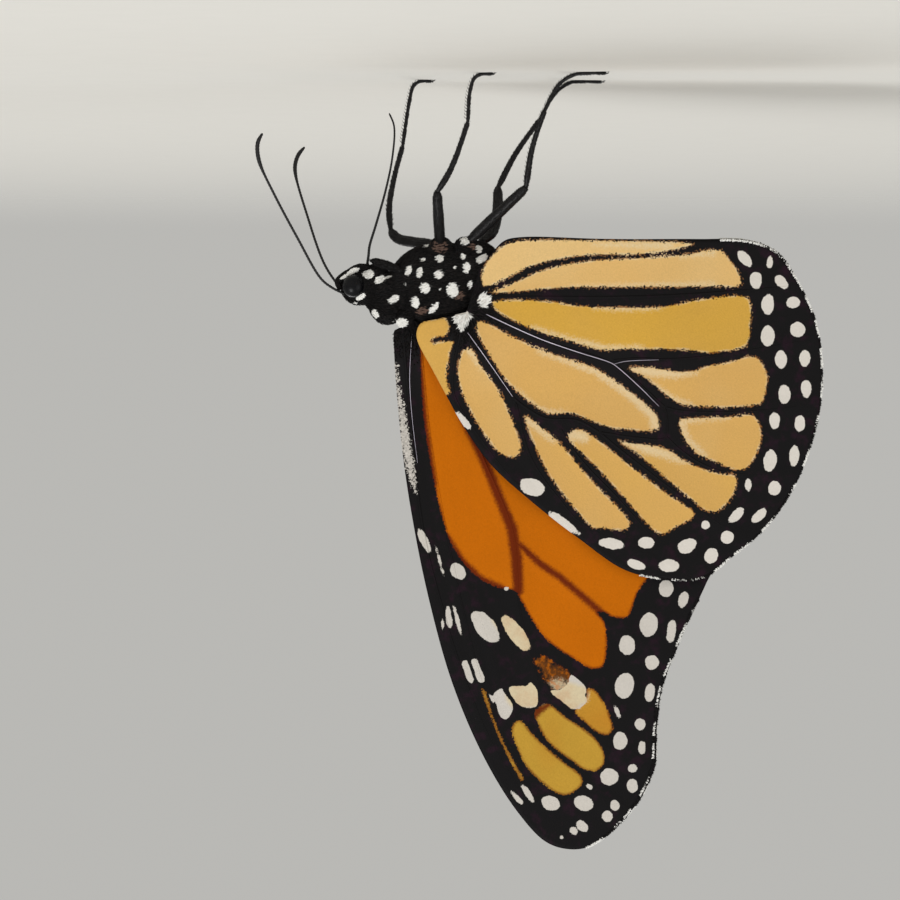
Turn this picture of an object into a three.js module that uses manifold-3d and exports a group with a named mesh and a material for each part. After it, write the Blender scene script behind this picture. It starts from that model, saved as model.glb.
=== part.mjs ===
// A monarch butterfly, life size, standing at rest with its wings shut over its back.
// Millimetres, +Z up. The butterfly faces +X, its right side faces -Y, its feet are on z = 0,
// and x = y = 0 is the middle of its outline seen from above.
import * as THREE from "three";
import { mergeVertices } from "three/addons/utils/BufferGeometryUtils.js";
import Module from "manifold-3d";

const wasm = await Module();
wasm.setup();

// ---- Driving dimensions ------------------------------------------------------------------

const GAP = 0.05; // clearance left between neighbouring pieces
const RIGHT = -1; // the sign of y on each side of the body
const LEFT = 1;

const WING = {
  thickness: 0.5,
  layer: { fore: 0.4, hind: 1.15 }, // middle of each wing from the plane between the pairs
  swell: 1.45, // how much further out the wings lie beside the body
  swellZ: [20.0, 30.5], // the swell is whole below the first height, and gone above the second
  swellX: [-17.0, -7.5], // and it fades out towards the hind margin in the same way
  rays: 38, // spokes of the fan from root to margin
  rings: [0.15, 0.35, 0.55, 0.78, 1], // shares of the way from root to margin
  leftSwing: -0.4, // degrees by which the left pair lies further forward
};

// Wing margins as [x, z], from the front of the root round to the back of it.
const FOREWING = {
  root: [11.3, 22.4],
  margin: [
    [13.3, 23.4], [13.15, 27], [12.5, 34.3], [11.6, 40.4], [10.1, 47.8], [7.9, 55.7], [5, 62.5],
    [2, 67.4], [-0.6, 70.2], [-2.6, 70.9], [-4.6, 70.7], [-7, 68.9], [-9.2, 66.2], [-10.4, 63.4],
    [-10.6, 60], [-11.1, 56.4], [-12.3, 53.1], [-13.7, 49.9], [-15.2, 46.8], [-15.9, 45],
    [-14.2, 43], [-5.6, 36.2], [3.5, 28.8], [8.6, 24.9],
  ],
};
const HINDWING = {
  root: [6.6, 21.7],
  margin: [
    [9.6, 22.4], [10.8, 22.9], [10.95, 24.5], [9.3, 27.8], [7.2, 31.6], [4.5, 35.5], [0.8, 38.9],
    [-3.8, 42.5], [-7.9, 45.3], [-11.6, 46.15], [-15.1, 46], [-17.8, 44], [-20.8, 41.4],
    [-23.1, 38.2], [-24.7, 34.6], [-25.7, 30.8], [-26, 27.1], [-25.4, 22.6], [-23.7, 18.8],
    [-21.9, 16.3], [-19.4, 15.25], [-14.8, 15.1], [-5.6, 15.0], [1.7, 14.85], [3.2, 15.2],
    [4.5, 16.6], [5.4, 17.8],
  ],
};

// Rounded masses of the body: middle, half-sizes, and nose-up pitch in degrees.
const HEAD = { middle: [16.4, 0, 19.4], half: [1.9, 1.55, 1.85], pitch: 0 };
const EYE = { middle: [16.95, 1.05, 19.3], half: [1.12, 0.95, 1.2], pitch: 0 };
const NECK = { middle: [14.9, 0, 19.4], half: [1.6, 1.4, 2.35], pitch: 0 };
const COLLAR = { middle: [13.85, 0, 20.4], half: [2.1, 2.0, 2.6], pitch: 0 };
const THORAX = { middle: [9.4, 0, 19.25], half: [4.9, 2.85, 4.2], pitch: 16 };
const HINDBODY = { middle: [5.9, 0, 18.3], half: [3.1, 2.35, 3.4], pitch: 0 };
// Paired lobes: the cover of each fore wing's root, and the hips of the walking legs.
const LOBES = [
  { middle: [12.3, 1.5, 22.35], half: [1.05, 0.75, 0.95], pitch: 30 },
  { middle: [9.0, 1.15, 15.75], half: [1.25, 0.95, 1.1], pitch: 0 },
  { middle: [6.7, 1.15, 15.75], half: [1.25, 0.95, 1.1], pitch: 0 },
];

const ABDOMEN = {
  spine: [[4.6, 0, 18.1], [0, 0, 18.4], [-5, 0, 18.0], [-10.3, 0, 17.1]],
  radius: 1.95,
  waist: 0.8, // share of the full radius at the root
  fullFrom: 0.2, // share of the length at which the full radius is reached
  taperFrom: 0.5, // share of the length beyond which it narrows to the tip
  tip: 0.25, // radius at the very end
  segments: 8,
  groove: 0.1, // depth of the folds between segments
};

const PALP = {
  path: [[15.5, 0.5, 17.5], [16.5, 0.55, 17.62], [17.2, 0.55, 17.98], [17.9, 0.5, 18.38],
    [18.45, 0.42, 18.95]],
  radius: [0.2, 0.28], // at the ends, and how much more at the middle
};
const TONGUE = {
  path: [[15.75, 0, 17.9], [15.7, 0, 17.2], [15.6, 0, 16.5], [15.5, 0, 15.6], [14.9, 0, 13.6],
    [14.0, 0, 10.4], [13.4, 0, 7.4], [13.25, 0, 4.6], [13.7, 0, 3.4]],
  radius: 0.26,
};

// Feelers and legs run from the body outwards; y is positive here and takes its side's sign.
const FEELER = {
  radius: { shaft: 0.25, club: 0.33 },
  bulge: 0.7, // below 1, the club keeps more of its thickness towards its ends
  shaft: {
    [RIGHT]: [[18.0, 0.6, 19.9], [18.9, 0.8, 19.45], [19.95, 1.2, 18.6], [22.05, 2.2, 14.95],
      [24.15, 3.4, 11], [25.45, 4.2, 8.2]],
    [LEFT]: [[18.0, 0.6, 19.7], [18.6, 1.0, 18.9], [19.75, 2.0, 17.05], [21.35, 4.4, 12.5],
      [22.42, 6.3, 8.8]],
  },
  club: {
    [RIGHT]: [[25.48, 4.22, 8.1], [25.68, 4.5, 7.0], [25.6, 4.75, 6.2], [25.2, 5.0, 5.4]],
    [LEFT]: [[22.43, 6.35, 8.7], [22.45, 6.8, 7.8], [22.15, 7.3, 6.9], [21.6, 7.7, 6.15]],
  },
};
const LEGS = {
  mid: {
    thick: { femur: [0.52, 0.42], tibia: [0.4, 0.27], tarsus: [0.28, 0.25] },
    right: {
      femur: [[9.0, 1.5, 15.4], [9.15, 3.2, 13.4], [9.3, 4.7, 10.8]],
      tibia: [[9.3, 4.75, 10.6], [8.4, 5.1, 9.4], [7.6, 5.4, 7.7], [6.5, 5.8, 4.6]],
      tarsus: [[6.5, 5.8, 4.5], [6.3, 6.1, 1.7], [5.9, 6.3, 0.5], [5.2, 6.55, 0.2], [4.2, 6.9, 0.2]],
    },
    left: {
      femur: [[9.6, 1.5, 15.4], [11.5, 3.1, 15.15], [13.0, 4.4, 14.75], [13.55, 4.85, 14.2]],
      tibia: [[13.6, 4.92, 13.9], [13.75, 5.3, 12.0], [13.3, 5.6, 9.2], [12.5, 5.8, 6.3]],
      tarsus: [[12.5, 5.8, 6.2], [11.9, 6.3, 2.2], [11.5, 6.5, 0.6], [10.8, 6.8, 0.2], [9.8, 7.2, 0.2]],
    },
  },
  hind: {
    thick: { femur: [0.45, 0.38], tibia: [0.36, 0.27], tarsus: [0.28, 0.25] },
    right: {
      femur: [[6.2, 1.2, 15.1], [3.6, 3.1, 12.6], [1.3, 4.6, 10.5]],
      tibia: [[1.15, 4.7, 10.25], [0.65, 5.6, 6.9], [-0.5, 6.6, 3.4]],
      tarsus: [[-0.6, 6.65, 3.3], [-1.7, 7.1, 1.2], [-3.0, 7.5, 0.3], [-4.2, 7.8, 0.2], [-6.1, 8.3, 0.2]],
    },
    left: {
      femur: [[5.2, 1.2, 15.1], [4.2, 2.1, 14.2], [3.75, 3.3, 12.3], [3.75, 4.6, 10.2]],
      tibia: [[3.6, 4.7, 9.95], [2.1, 5.6, 7.0], [-0.2, 6.5, 3.7]],
      tarsus: [[-0.3, 6.55, 3.6], [-1.6, 7.0, 1.3], [-2.9, 7.5, 0.3], [-4.1, 7.8, 0.2], [-6.0, 8.3, 0.2]],
    },
  },
};
// The brush-like forelegs are never stood on: they stay folded under the collar.
const FORELEG = {
  path: [[12.4, 1.35, 17.9], [13.6, 1.35, 17.3], [15.2, 1.15, 16.95]],
  thick: [0.3, 0.42],
};

// The block under z = 0 that the feet are cut by; it is wider than the butterfly.
const UNDERGROUND = { length: 80, width: 40, depth: 4 };

const FINISH = {
  black: { color: 0x14120f, roughness: 0.75, metalness: 0 },
  leg: { color: 0x17150f, roughness: 0.5, metalness: 0 },
  eye: { color: 0x0c0b0a, roughness: 0.2, metalness: 0 },
  tongue: { color: 0x241a12, roughness: 0.45, metalness: 0 },
  hindwing: { color: 0xd9a961, roughness: 0.7, metalness: 0 },
  forewing: { color: 0xd9700f, roughness: 0.7, metalness: 0 },
};

// ---- Making solids -----------------------------------------------------------------------

// A closed solid from a geometry whose faces may all point in or all point out.
function solid(geometry) {
  const bare = geometry.index ? geometry.clone() : mergeVertices(geometry);
  bare.deleteAttribute("normal");
  bare.deleteAttribute("uv");
  const merged = mergeVertices(bare, 1e-5);
  const points = merged.attributes.position.array;
  const corners = Uint32Array.from(merged.index.array);
  const whole = dropFlat(points, corners);
  const make = (triVerts) => (
    new wasm.Manifold(new wasm.Mesh({ numProp: 3, vertProperties: points, triVerts }))
  );
  const made = make(whole);
  return made.volume() > 0 ? made : make(whole.reverse());
}

// Triangles that merging has left without three separate corners are taken out.
function dropFlat(points, corners) {
  const kept = [];
  for (let i = 0; i < corners.length; i += 3) {
    const [a, b, c] = corners.subarray(i, i + 3);
    if (a !== b && b !== c && c !== a) kept.push(a, b, c);
  }
  return Uint32Array.from(kept);
}

function named(name, shape, finish) {
  const { vertProperties, triVerts, numProp } = shape.getMesh();
  const geometry = new THREE.BufferGeometry();
  const position = new Float32Array((vertProperties.length / numProp) * 3);
  for (let i = 0; i < position.length / 3; i++) {
    position.set(vertProperties.subarray(i * numProp, i * numProp + 3), i * 3);
  }
  geometry.setAttribute("position", new THREE.BufferAttribute(position, 3));
  geometry.setIndex(new THREE.BufferAttribute(triVerts, 1));
  geometry.computeVertexNormals();
  const mesh = new THREE.Mesh(geometry, new THREE.MeshStandardMaterial(FINISH[finish]));
  mesh.name = name;
  return mesh;
}

// An ellipsoid, optionally grown by some clearance and moved to one side of the body.
function rounded({ middle, half, pitch }, { grow = 0, side = 0, around = 12, along = 8 } = {}) {
  const geometry = new THREE.SphereGeometry(1, around, along);
  geometry.rotateZ(Math.PI / 2);
  geometry.scale(...half.map((size) => size + grow));
  geometry.rotateY(THREE.MathUtils.degToRad(-pitch));
  geometry.translate(middle[0], middle[1] * side, middle[2]);
  return solid(geometry);
}

function smooth(points) {
  return new THREE.CatmullRomCurve3(points.map((p) => new THREE.Vector3(...p)), false, "centripetal");
}

// A round limb along a smooth path, closed at both ends.
function limb(path, radiusAt, { side = 1, steps = 12, sides = 10 } = {}) {
  const curve = smooth(path.map(([x, y, z]) => [x, y * side, z]));
  const frames = curve.computeFrenetFrames(steps, false);
  const position = [];
  const index = [];
  for (let i = 0; i <= steps; i++) {
    const centre = curve.getPointAt(i / steps);
    const radius = radiusAt(i / steps);
    for (let j = 0; j < sides; j++) {
      const turn = (2 * Math.PI * j) / sides;
      const out = centre.clone();
      out.addScaledVector(frames.normals[i], radius * Math.cos(turn));
      out.addScaledVector(frames.binormals[i], radius * Math.sin(turn));
      position.push(out.x, out.y, out.z);
    }
  }
  const ring = (i, j) => i * sides + (j % sides);
  for (let i = 0; i < steps; i++) {
    for (let j = 0; j < sides; j++) {
      index.push(ring(i, j), ring(i, j + 1), ring(i + 1, j + 1));
      index.push(ring(i, j), ring(i + 1, j + 1), ring(i + 1, j));
    }
  }
  for (let j = 1; j < sides - 1; j++) {
    index.push(ring(0, 0), ring(0, j + 1), ring(0, j));
    index.push(ring(steps, 0), ring(steps, j), ring(steps, j + 1));
  }
  const geometry = new THREE.BufferGeometry();
  geometry.setAttribute("position", new THREE.Float32BufferAttribute(position, 3));
  geometry.setIndex(index);
  return solid(geometry);
}

const taper = ([from, to]) => (share) => from + (to - from) * share;

// 0 below the first limit, 1 above the second, and smooth in between.
function ease([low, high], value) {
  return THREE.MathUtils.smoothstep(value, low, high);
}

// How far a wing's middle surface lies from the plane between the pairs.
function wingOffset(layer, x, z) {
  const beside = (1 - ease(WING.swellZ, z)) * ease(WING.swellX, x);
  return layer + WING.swell * beside;
}

// ---- Wings -------------------------------------------------------------------------------

// A thin curved blade: two fans of faces from the root to the margin, joined round the edge.
function blade({ root, margin }, layer, side) {
  const rim = smooth(margin.map(([x, z]) => [x, 0, z])).getSpacedPoints(WING.rays);
  const swing = side === LEFT ? THREE.MathUtils.degToRad(WING.leftSwing) : 0;
  const pivot = FOREWING.root;
  const position = [];
  const index = [];
  const add = (x, z, face) => {
    const y = side * (wingOffset(layer, x, z) + (face * WING.thickness) / 2);
    const turned = new THREE.Vector2(x, z).rotateAround(new THREE.Vector2(...pivot), -swing);
    position.push(turned.x, y, turned.y);
    return position.length / 3 - 1;
  };
  const sheets = [-1, 1].map((face) => {
    const apex = add(...root, face);
    const spokes = rim.map((tip) => [
      apex,
      ...WING.rings.map((share) => add(
        THREE.MathUtils.lerp(root[0], tip.x, share),
        THREE.MathUtils.lerp(root[1], tip.z, share),
        face,
      )),
    ]);
    return spokes;
  });
  const last = WING.rings.length;
  const quad = (a, b, c, d) => index.push(a, b, c, a, c, d);
  sheets.forEach((spokes, face) => {
    for (let i = 0; i < WING.rays; i++) {
      for (let k = 0; k < last; k++) {
        const corners = [spokes[i][k], spokes[i + 1][k], spokes[i + 1][k + 1], spokes[i][k + 1]];
        quad(...(face ? corners.reverse() : corners));
      }
    }
  });
  const wall = (i, k, j, m) => quad(sheets[0][i][k], sheets[0][j][m], sheets[1][j][m], sheets[1][i][k]);
  for (let i = 0; i < WING.rays; i++) wall(i, last, i + 1, last);
  for (let k = 0; k < last; k++) {
    wall(0, k, 0, k + 1);
    wall(WING.rays, k + 1, WING.rays, k);
  }
  const geometry = new THREE.BufferGeometry();
  geometry.setAttribute("position", new THREE.Float32BufferAttribute(position, 3));
  geometry.setIndex(index);
  return solid(geometry);
}

// ---- Body --------------------------------------------------------------------------------

function abdomen(grow = 0) {
  const radiusAt = (share) => {
    const { radius, waist, fullFrom, taperFrom, tip, segments, groove } = ABDOMEN;
    const root = THREE.MathUtils.lerp(waist, 1, ease([0, fullFrom], share));
    const past = Math.max(0, (share - taperFrom) / (1 - taperFrom));
    const fold = Math.abs(Math.cos(Math.PI * segments * share)) ** 6;
    return Math.max(tip, radius * root * Math.sqrt(Math.max(0, 1 - past ** 3)) - groove * fold) + grow;
  };
  return limb(ABDOMEN.spine, radiusAt, { steps: 27, sides: 10 });
}

function trunk(grow = 0) {
  const masses = [rounded(THORAX, { grow, around: 18, along: 10 }), rounded(HINDBODY, { grow })];
  for (const lobe of LOBES) {
    for (const side of [RIGHT, LEFT]) masses.push(rounded(lobe, { grow, side, around: 10, along: 7 }));
  }
  return masses.reduce((whole, mass) => whole.add(mass));
}

function prothorax(grow = 0) {
  return rounded(COLLAR, { grow }).add(rounded(NECK, { grow }));
}

function body() {
  const skull = rounded(HEAD, { around: 16, along: 10 })
    .subtract(rounded(EYE, { grow: GAP, side: RIGHT }))
    .subtract(rounded(EYE, { grow: GAP, side: LEFT }));
  const collar = prothorax().subtract(rounded(HEAD, { grow: GAP, around: 16, along: 10 }));
  const chest = trunk().subtract(prothorax(GAP));
  return [
    named("head", skull, "black"),
    named("prothorax", collar, "black"),
    named("thorax", chest, "black"),
    named("abdomen", abdomen().subtract(trunk(GAP)), "black"),
  ];
}

// ---- The whole butterfly -----------------------------------------------------------------

// Pieces that grow from the head stop short of it by the clearance.
function offHead(shape) {
  return shape
    .subtract(prothorax(GAP))
    .subtract(rounded(HEAD, { grow: GAP, around: 16, along: 10 }))
    .subtract(rounded(EYE, { grow: GAP, side: RIGHT }))
    .subtract(rounded(EYE, { grow: GAP, side: LEFT }));
}

function sideName(side) {
  return side === RIGHT ? "right" : "left";
}

function palp(side, grow = 0) {
  const [thin, more] = PALP.radius;
  const radiusAt = (share) => thin + more * Math.sin(Math.PI * share) + grow;
  return limb(PALP.path, radiusAt, { side, steps: 8, sides: 8 });
}

function face(side) {
  const { radius, bulge, shaft, club } = FEELER;
  const swollen = (share) => {
    const fullness = Math.sin(Math.PI * share) ** bulge;
    return THREE.MathUtils.lerp(radius.shaft, radius.club, fullness);
  };
  const stem = limb(shaft[side], () => radius.shaft, { side, steps: 9, sides: 6 });
  const tip = limb(club[side], swollen, { side, steps: 8, sides: 6 });
  return [
    named(`eye_${sideName(side)}`, rounded(EYE, { side }), "eye"),
    named(`palp_${sideName(side)}`, offHead(palp(side)), "black"),
    named(`antenna_shaft_${sideName(side)}`, offHead(stem), "leg"),
    named(`antenna_club_${sideName(side)}`, tip, "leg"),
  ];
}

// Whatever would reach below the floor is cut off, which leaves a small flat sole.
function onFloor(shape) {
  const below = new THREE.BoxGeometry(UNDERGROUND.length, UNDERGROUND.width, UNDERGROUND.depth);
  below.translate(0, 0, -UNDERGROUND.depth / 2);
  return shape.subtract(solid(below));
}

function leg(pair, side) {
  const { thick } = LEGS[pair];
  const paths = LEGS[pair][sideName(side)];
  return ["femur", "tibia", "tarsus"].map((part) => {
    const whole = limb(paths[part], taper(thick[part]), { side, steps: 6, sides: 8 });
    const shape = part === "femur" ? whole.subtract(trunk(GAP)) : onFloor(whole);
    return named(`leg_${pair}_${sideName(side)}_${part}`, shape, "leg");
  });
}

function foreleg(side) {
  const shape = limb(FORELEG.path, taper(FORELEG.thick), { side, steps: 6, sides: 8 })
    .subtract(prothorax(GAP))
    .subtract(trunk(GAP));
  return named(`foreleg_${sideName(side)}`, offHead(shape), "leg");
}

function wings(side) {
  const clear = (shape) => shape.subtract(trunk(GAP)).subtract(prothorax(GAP));
  return [
    named(`forewing_${sideName(side)}`, clear(blade(FOREWING, WING.layer.fore, side)), "forewing"),
    named(`hindwing_${sideName(side)}`, clear(blade(HINDWING, WING.layer.hind, side)), "hindwing"),
  ];
}

const butterfly = new THREE.Group();
butterfly.add(...body());
const tongue = limb(TONGUE.path, () => TONGUE.radius, { steps: 12, sides: 6 })
  .subtract(palp(RIGHT, GAP))
  .subtract(palp(LEFT, GAP));
butterfly.add(named("proboscis", offHead(tongue), "tongue"));
for (const side of [RIGHT, LEFT]) {
  butterfly.add(...face(side), foreleg(side), ...leg("mid", side), ...leg("hind", side), ...wings(side));
}

export default butterfly;
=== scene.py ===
import math
from collections import namedtuple
from contextlib import contextmanager

import bpy
import numpy as np
from mathutils import Matrix, Vector


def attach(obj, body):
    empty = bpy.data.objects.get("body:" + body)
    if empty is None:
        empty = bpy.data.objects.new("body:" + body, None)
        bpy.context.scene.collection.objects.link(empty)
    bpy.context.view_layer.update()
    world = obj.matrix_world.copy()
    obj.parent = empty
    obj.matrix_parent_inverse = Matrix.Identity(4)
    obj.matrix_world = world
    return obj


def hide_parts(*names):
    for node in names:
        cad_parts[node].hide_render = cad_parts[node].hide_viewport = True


bl_info = {
    "name": "Monarch Butterfly",
    "version": (1, 0, 0),
    "blender": (4, 5, 0),
    "location": "3D View > Sidebar > Butterfly",
    "description": "Scales, coat, eyes and legs of a life-size monarch butterfly on its CAD frame",
    "category": "Add Mesh",
}

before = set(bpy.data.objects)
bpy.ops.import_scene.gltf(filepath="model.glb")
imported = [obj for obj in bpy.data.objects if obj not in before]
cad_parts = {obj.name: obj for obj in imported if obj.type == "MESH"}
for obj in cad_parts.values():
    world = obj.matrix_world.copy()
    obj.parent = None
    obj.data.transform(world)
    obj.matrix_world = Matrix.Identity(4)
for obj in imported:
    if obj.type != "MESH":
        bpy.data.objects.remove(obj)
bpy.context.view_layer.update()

# Places are millimetres in the frame's own axes: +X forward, +Z up, and the right side is -Y.
MM = 0.001
RIGHT, LEFT = -1, 1
SIDES = {RIGHT: "right", LEFT: "left"}

# ---- Wings: outline, colour cells and spots, as (x, z) ----

WING_SWELL = 1.45  # how much further out the wings lie beside the body
LEFT_SWING = 0.4  # the left pair lies this many degrees further back
REACH = 2.0  # depths inside and outside marks are told apart up to this far
FORE_ROOT = (11.3, 22.4)
HIND_ROOT = (6.6, 21.7)
FORE_MARGIN = (
    (13.3, 23.4), (13.15, 27), (12.5, 34.3), (11.6, 40.4), (10.1, 47.8), (7.9, 55.7), (5, 62.5),
    (2, 67.4), (-0.6, 70.2), (-2.6, 70.9), (-4.6, 70.7), (-7, 68.9), (-9.2, 66.2), (-10.4, 63.4),
    (-10.6, 60), (-11.1, 56.4), (-12.3, 53.1), (-13.7, 49.9), (-15.2, 46.8), (-15.9, 45),
    (-14.2, 43), (-5.6, 36.2), (3.5, 28.8), (8.6, 24.9),
)
HIND_MARGIN = (
    (9.6, 22.4), (10.7, 22.65), (11.15, 23.4), (11.1, 24.3), (9.7, 27), (8.3, 29.6), (7.2, 31.6),
    (4.5, 35.5), (0.8, 38.9), (-3.8, 42.5), (-7.9, 45.3), (-11.6, 46.15), (-15.1, 46), (-17.8, 44),
    (-20.8, 41.4), (-23.1, 38.2), (-24.7, 34.6), (-25.7, 30.8), (-26, 27.1), (-25.4, 22.6),
    (-23.7, 18.8), (-21.9, 16.3), (-19.4, 15.25), (-14.8, 15.1), (-5.6, 15), (1.7, 14.85),
    (3.2, 15.2), (4.5, 16.6), (5.4, 17.8),
)

# Coloured cells: the ground's tone, and the outline as (x, z).
HIND_CELLS = (
    (0.75, (  # humeral
        (11.5, 24.2), (11.2, 22.9), (9.6, 22.3), (8.6, 22.2), (8.2, 22.6), (8.2, 23.5), (8.6, 23.9),
        (9.2, 23.95), (9.9, 24.35), (9.6, 24.5), (8.9, 24.35), (7.8, 24.4), (8.1, 25.4), (8.35, 27),
        (8.4, 28), (8.1, 29), (9, 29.4),
    )),
    (0.45, (  # front
        (6.9, 25.1), (6.2, 25), (5.2, 26.6), (3.6, 28.9), (3.1, 29.9), (2.7, 30.8), (1.6, 34.3),
        (2.2, 35), (3.6, 34.6), (4, 34.2), (5.8, 31.6), (7.2, 28.6), (7.4, 26.7),
    )),
    (0.5, (  # second
        (1.3, 31.1), (0.1, 31.9), (-2, 33.7), (-4.9, 37.1), (-8.2, 40.6), (-8.4, 41.2),
        (-7.9, 41.6), (-5.8, 41.5), (-4.9, 41.4), (-3.8, 40.3), (-0.9, 36.5),
    )),
    (0.55, (  # third
        (-2.6, 33), (-3.1, 32.5), (-3.9, 32.4), (-5.5, 33.4), (-8.5, 35.8), (-11.5, 38.1),
        (-14.2, 40), (-14.2, 40.4), (-12.6, 41.4), (-11.4, 42), (-10.7, 41.8), (-8, 38.9),
        (-5, 35.6), (-3.1, 33.8),
    )),
    (0.6, (  # fourth
        (-7.2, 33.4), (-8.4, 33.6), (-11.2, 34), (-12.1, 34.4), (-14, 35.6), (-16.4, 36.4),
        (-18, 36.7), (-18.1, 37.8), (-17, 39.5), (-16.2, 40), (-15.4, 39.9), (-13.5, 38.5),
        (-9.3, 34.9),
    )),
    (0.5, (  # fifth
        (-12.85, 31.9), (-13, 31.45), (-14, 31.35), (-17.5, 31.25), (-19.5, 31.05), (-20.1, 31.6),
        (-20.4, 33.2), (-19.8, 35), (-19, 36), (-18, 36.15), (-16.4, 35.5), (-14.4, 34.6),
        (-13.2, 33.1),
    )),
    (0.5, (  # sixth
        (-8.2, 26.8), (-10.5, 26.75), (-12.8, 27.1), (-14.3, 27), (-15.4, 26.6), (-17.8, 26.15),
        (-19.3, 25.7), (-20.2, 26), (-20.95, 27.5), (-20.8, 29), (-20.4, 30), (-19.3, 30.3),
        (-13.3, 30.2), (-12.2, 29.7), (-10, 27.9),
    )),
    (0.95, (  # seventh
        (4.3, 20.8), (3.5, 20.6), (-0.3, 20.65), (-4.4, 21.15), (-11.5, 21.15), (-14.5, 20.55),
        (-18.9, 20.25), (-19.4, 20.8), (-19.4, 23), (-19.2, 24.5), (-18.5, 25), (-15.2, 25.4),
        (-13.5, 25.15), (-7.5, 25.1), (-6, 25.2), (-2.9, 24.4), (1, 23.1), (4.1, 21.4),
    )),
    (0.3, (  # eighth
        (4.5, 19.9), (3.2, 19.33), (1.9, 18.83), (0, 17.97), (-2, 17.42), (-5, 16.97), (-10, 16.68),
        (-14, 16.3), (-15.2, 16), (-16.7, 16), (-17.6, 17), (-18.4, 18.2), (-18.5, 19.2),
        (-15.9, 19.35), (-8.4, 19.45), (-2, 19.5), (2.6, 19.9),
    )),
    (0.15, (  # rear
        (5.2, 19.2), (5.1, 17.8), (4, 16.2), (2.6, 15.35), (0, 15.1), (-6, 15.15), (-14.2, 15.45),
        (-12, 16.07), (-9.2, 16.42), (-5, 16.49), (-2, 16.84), (0.8, 17.58), (3, 18.67),
        (4.6, 19.33),
    )),
    (0.5, (  # middle
        (5.8, 22.9), (5.5, 22.5), (4.9, 22.6), (2, 24.1), (-1.5, 25.55), (-5, 26.7), (-7, 27.9),
        (-9, 29.4), (-10.5, 30.7), (-11, 31.5), (-11, 32.3), (-10.2, 32.6), (-8.5, 32.5),
        (-6.2, 32.2), (-5, 31.75), (-3, 31), (-0.8, 31), (0.6, 30.1), (2.2, 28.8), (4, 26.5),
    )),
)
FORE_CELLS = (
    (0.5, (  # main
        (11.1, 23.4), (10.9, 24.7), (10.5, 31.6), (9.2, 39), (8.3, 42.2), (7.6, 43.6), (6.4, 45.2),
        (5.2, 46.2), (4.1, 46.75), (3, 47.05), (2.2, 47.2), (1.6, 48.1), (0.6, 49.9), (-1, 51.9),
        (-3.5, 53.6), (-4.9, 54.35), (-5.9, 54.1), (-6.25, 52), (-6, 50), (-5.4, 49.2), (-6, 49.2),
        (-6.8, 49.6), (-8.1, 49.6), (-9.1, 47.3), (-10.2, 45.5), (-9.3, 43.7), (-5.6, 39.8),
        (-0.1, 33.4), (3.5, 28.8), (7.2, 24.7), (9, 23.1),
    )),
    (1, (  # near tip
        (2.45, 60), (2.2, 59.3), (1.7, 59.1), (0.6, 60.3), (-0.6, 61.5), (-2.4, 63), (-3.9, 64.2),
        (-4, 64.9), (-2.9, 65.85), (-2, 65.9), (-0.3, 64.8), (1.2, 63.2), (1.8, 62),
    )),
    (1, (  # tip
        (0.4, 58.5), (0, 57.9), (-0.9, 57.6), (-2.5, 58.8), (-4.3, 60), (-5.4, 61), (-6, 62.1),
        (-6, 63.1), (-5.3, 63.7), (-4.2, 63.6), (-2.9, 62.7), (-1.3, 61.5), (-0.4, 60.4),
        (0.1, 59.3),
    )),
    (0.9, (  # behind tip
        (-3.3, 58.2), (-3.9, 57.6), (-4.4, 56.8), (-4.4, 56.2), (-5.1, 56.3), (-6, 57.5),
        (-6.6, 58.9), (-6.8, 59.9), (-6.4, 60.4), (-5.6, 60.3), (-4.4, 59.4),
    )),
    (1, (  # streak
        (5.2, 56.2), (4.95, 56.3), (4.15, 58.8), (2.97, 61.5), (1.95, 63.4), (1.35, 64.55),
        (1.52, 64.65), (2.22, 63.6), (3.22, 61.6), (4.37, 58.85),
    )),
    (0, (  # mottled patch
        (0.5, 53.4), (-0.4, 53.1), (-1.4, 53.7), (-2.5, 54.3), (-3.2, 54.9), (-2.9, 55.9),
        (-2, 56.5), (-1.4, 56.4), (-0.7, 55.8), (-0.2, 55), (0.3, 54.2),
    )),
)
FORE_PATCHES = (
    ((-1.15, 56.4), (-2, 56.3), (-2.7, 55.7), (-2.95, 54.95), (-3.9, 55.6), (-4.35, 56.3),
     (-4.25, 56.8), (-4.4, 57.3), (-3.9, 57.9), (-3.1, 58.05), (-2.2, 57.4)),
    ((2.7, 56.1), (1.1, 55.9), (0.8, 55.6), (0.3, 56), (0.1, 57), (0.2, 57.8), (1, 57.95),
     (1.9, 57.6)),
    ((4.2, 56.9), (3.4, 56.2), (2.9, 56.9), (2.4, 57.6), (2.7, 58.8), (3.1, 59), (3.5, 58.8),
     (3.9, 57.6)),
    ((6.98, 53.75), (6.6, 53.62), (6.2, 54.6), (5.98, 55.5), (6.15, 55.72), (6.5, 55.4),
     (6.8, 54.66)),
    ((6.15, 53.6), (5.75, 53.5), (5.35, 54.3), (4.95, 55.4), (5.1, 55.62), (5.5, 55.5),
     (5.8, 54.7)),
)
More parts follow.
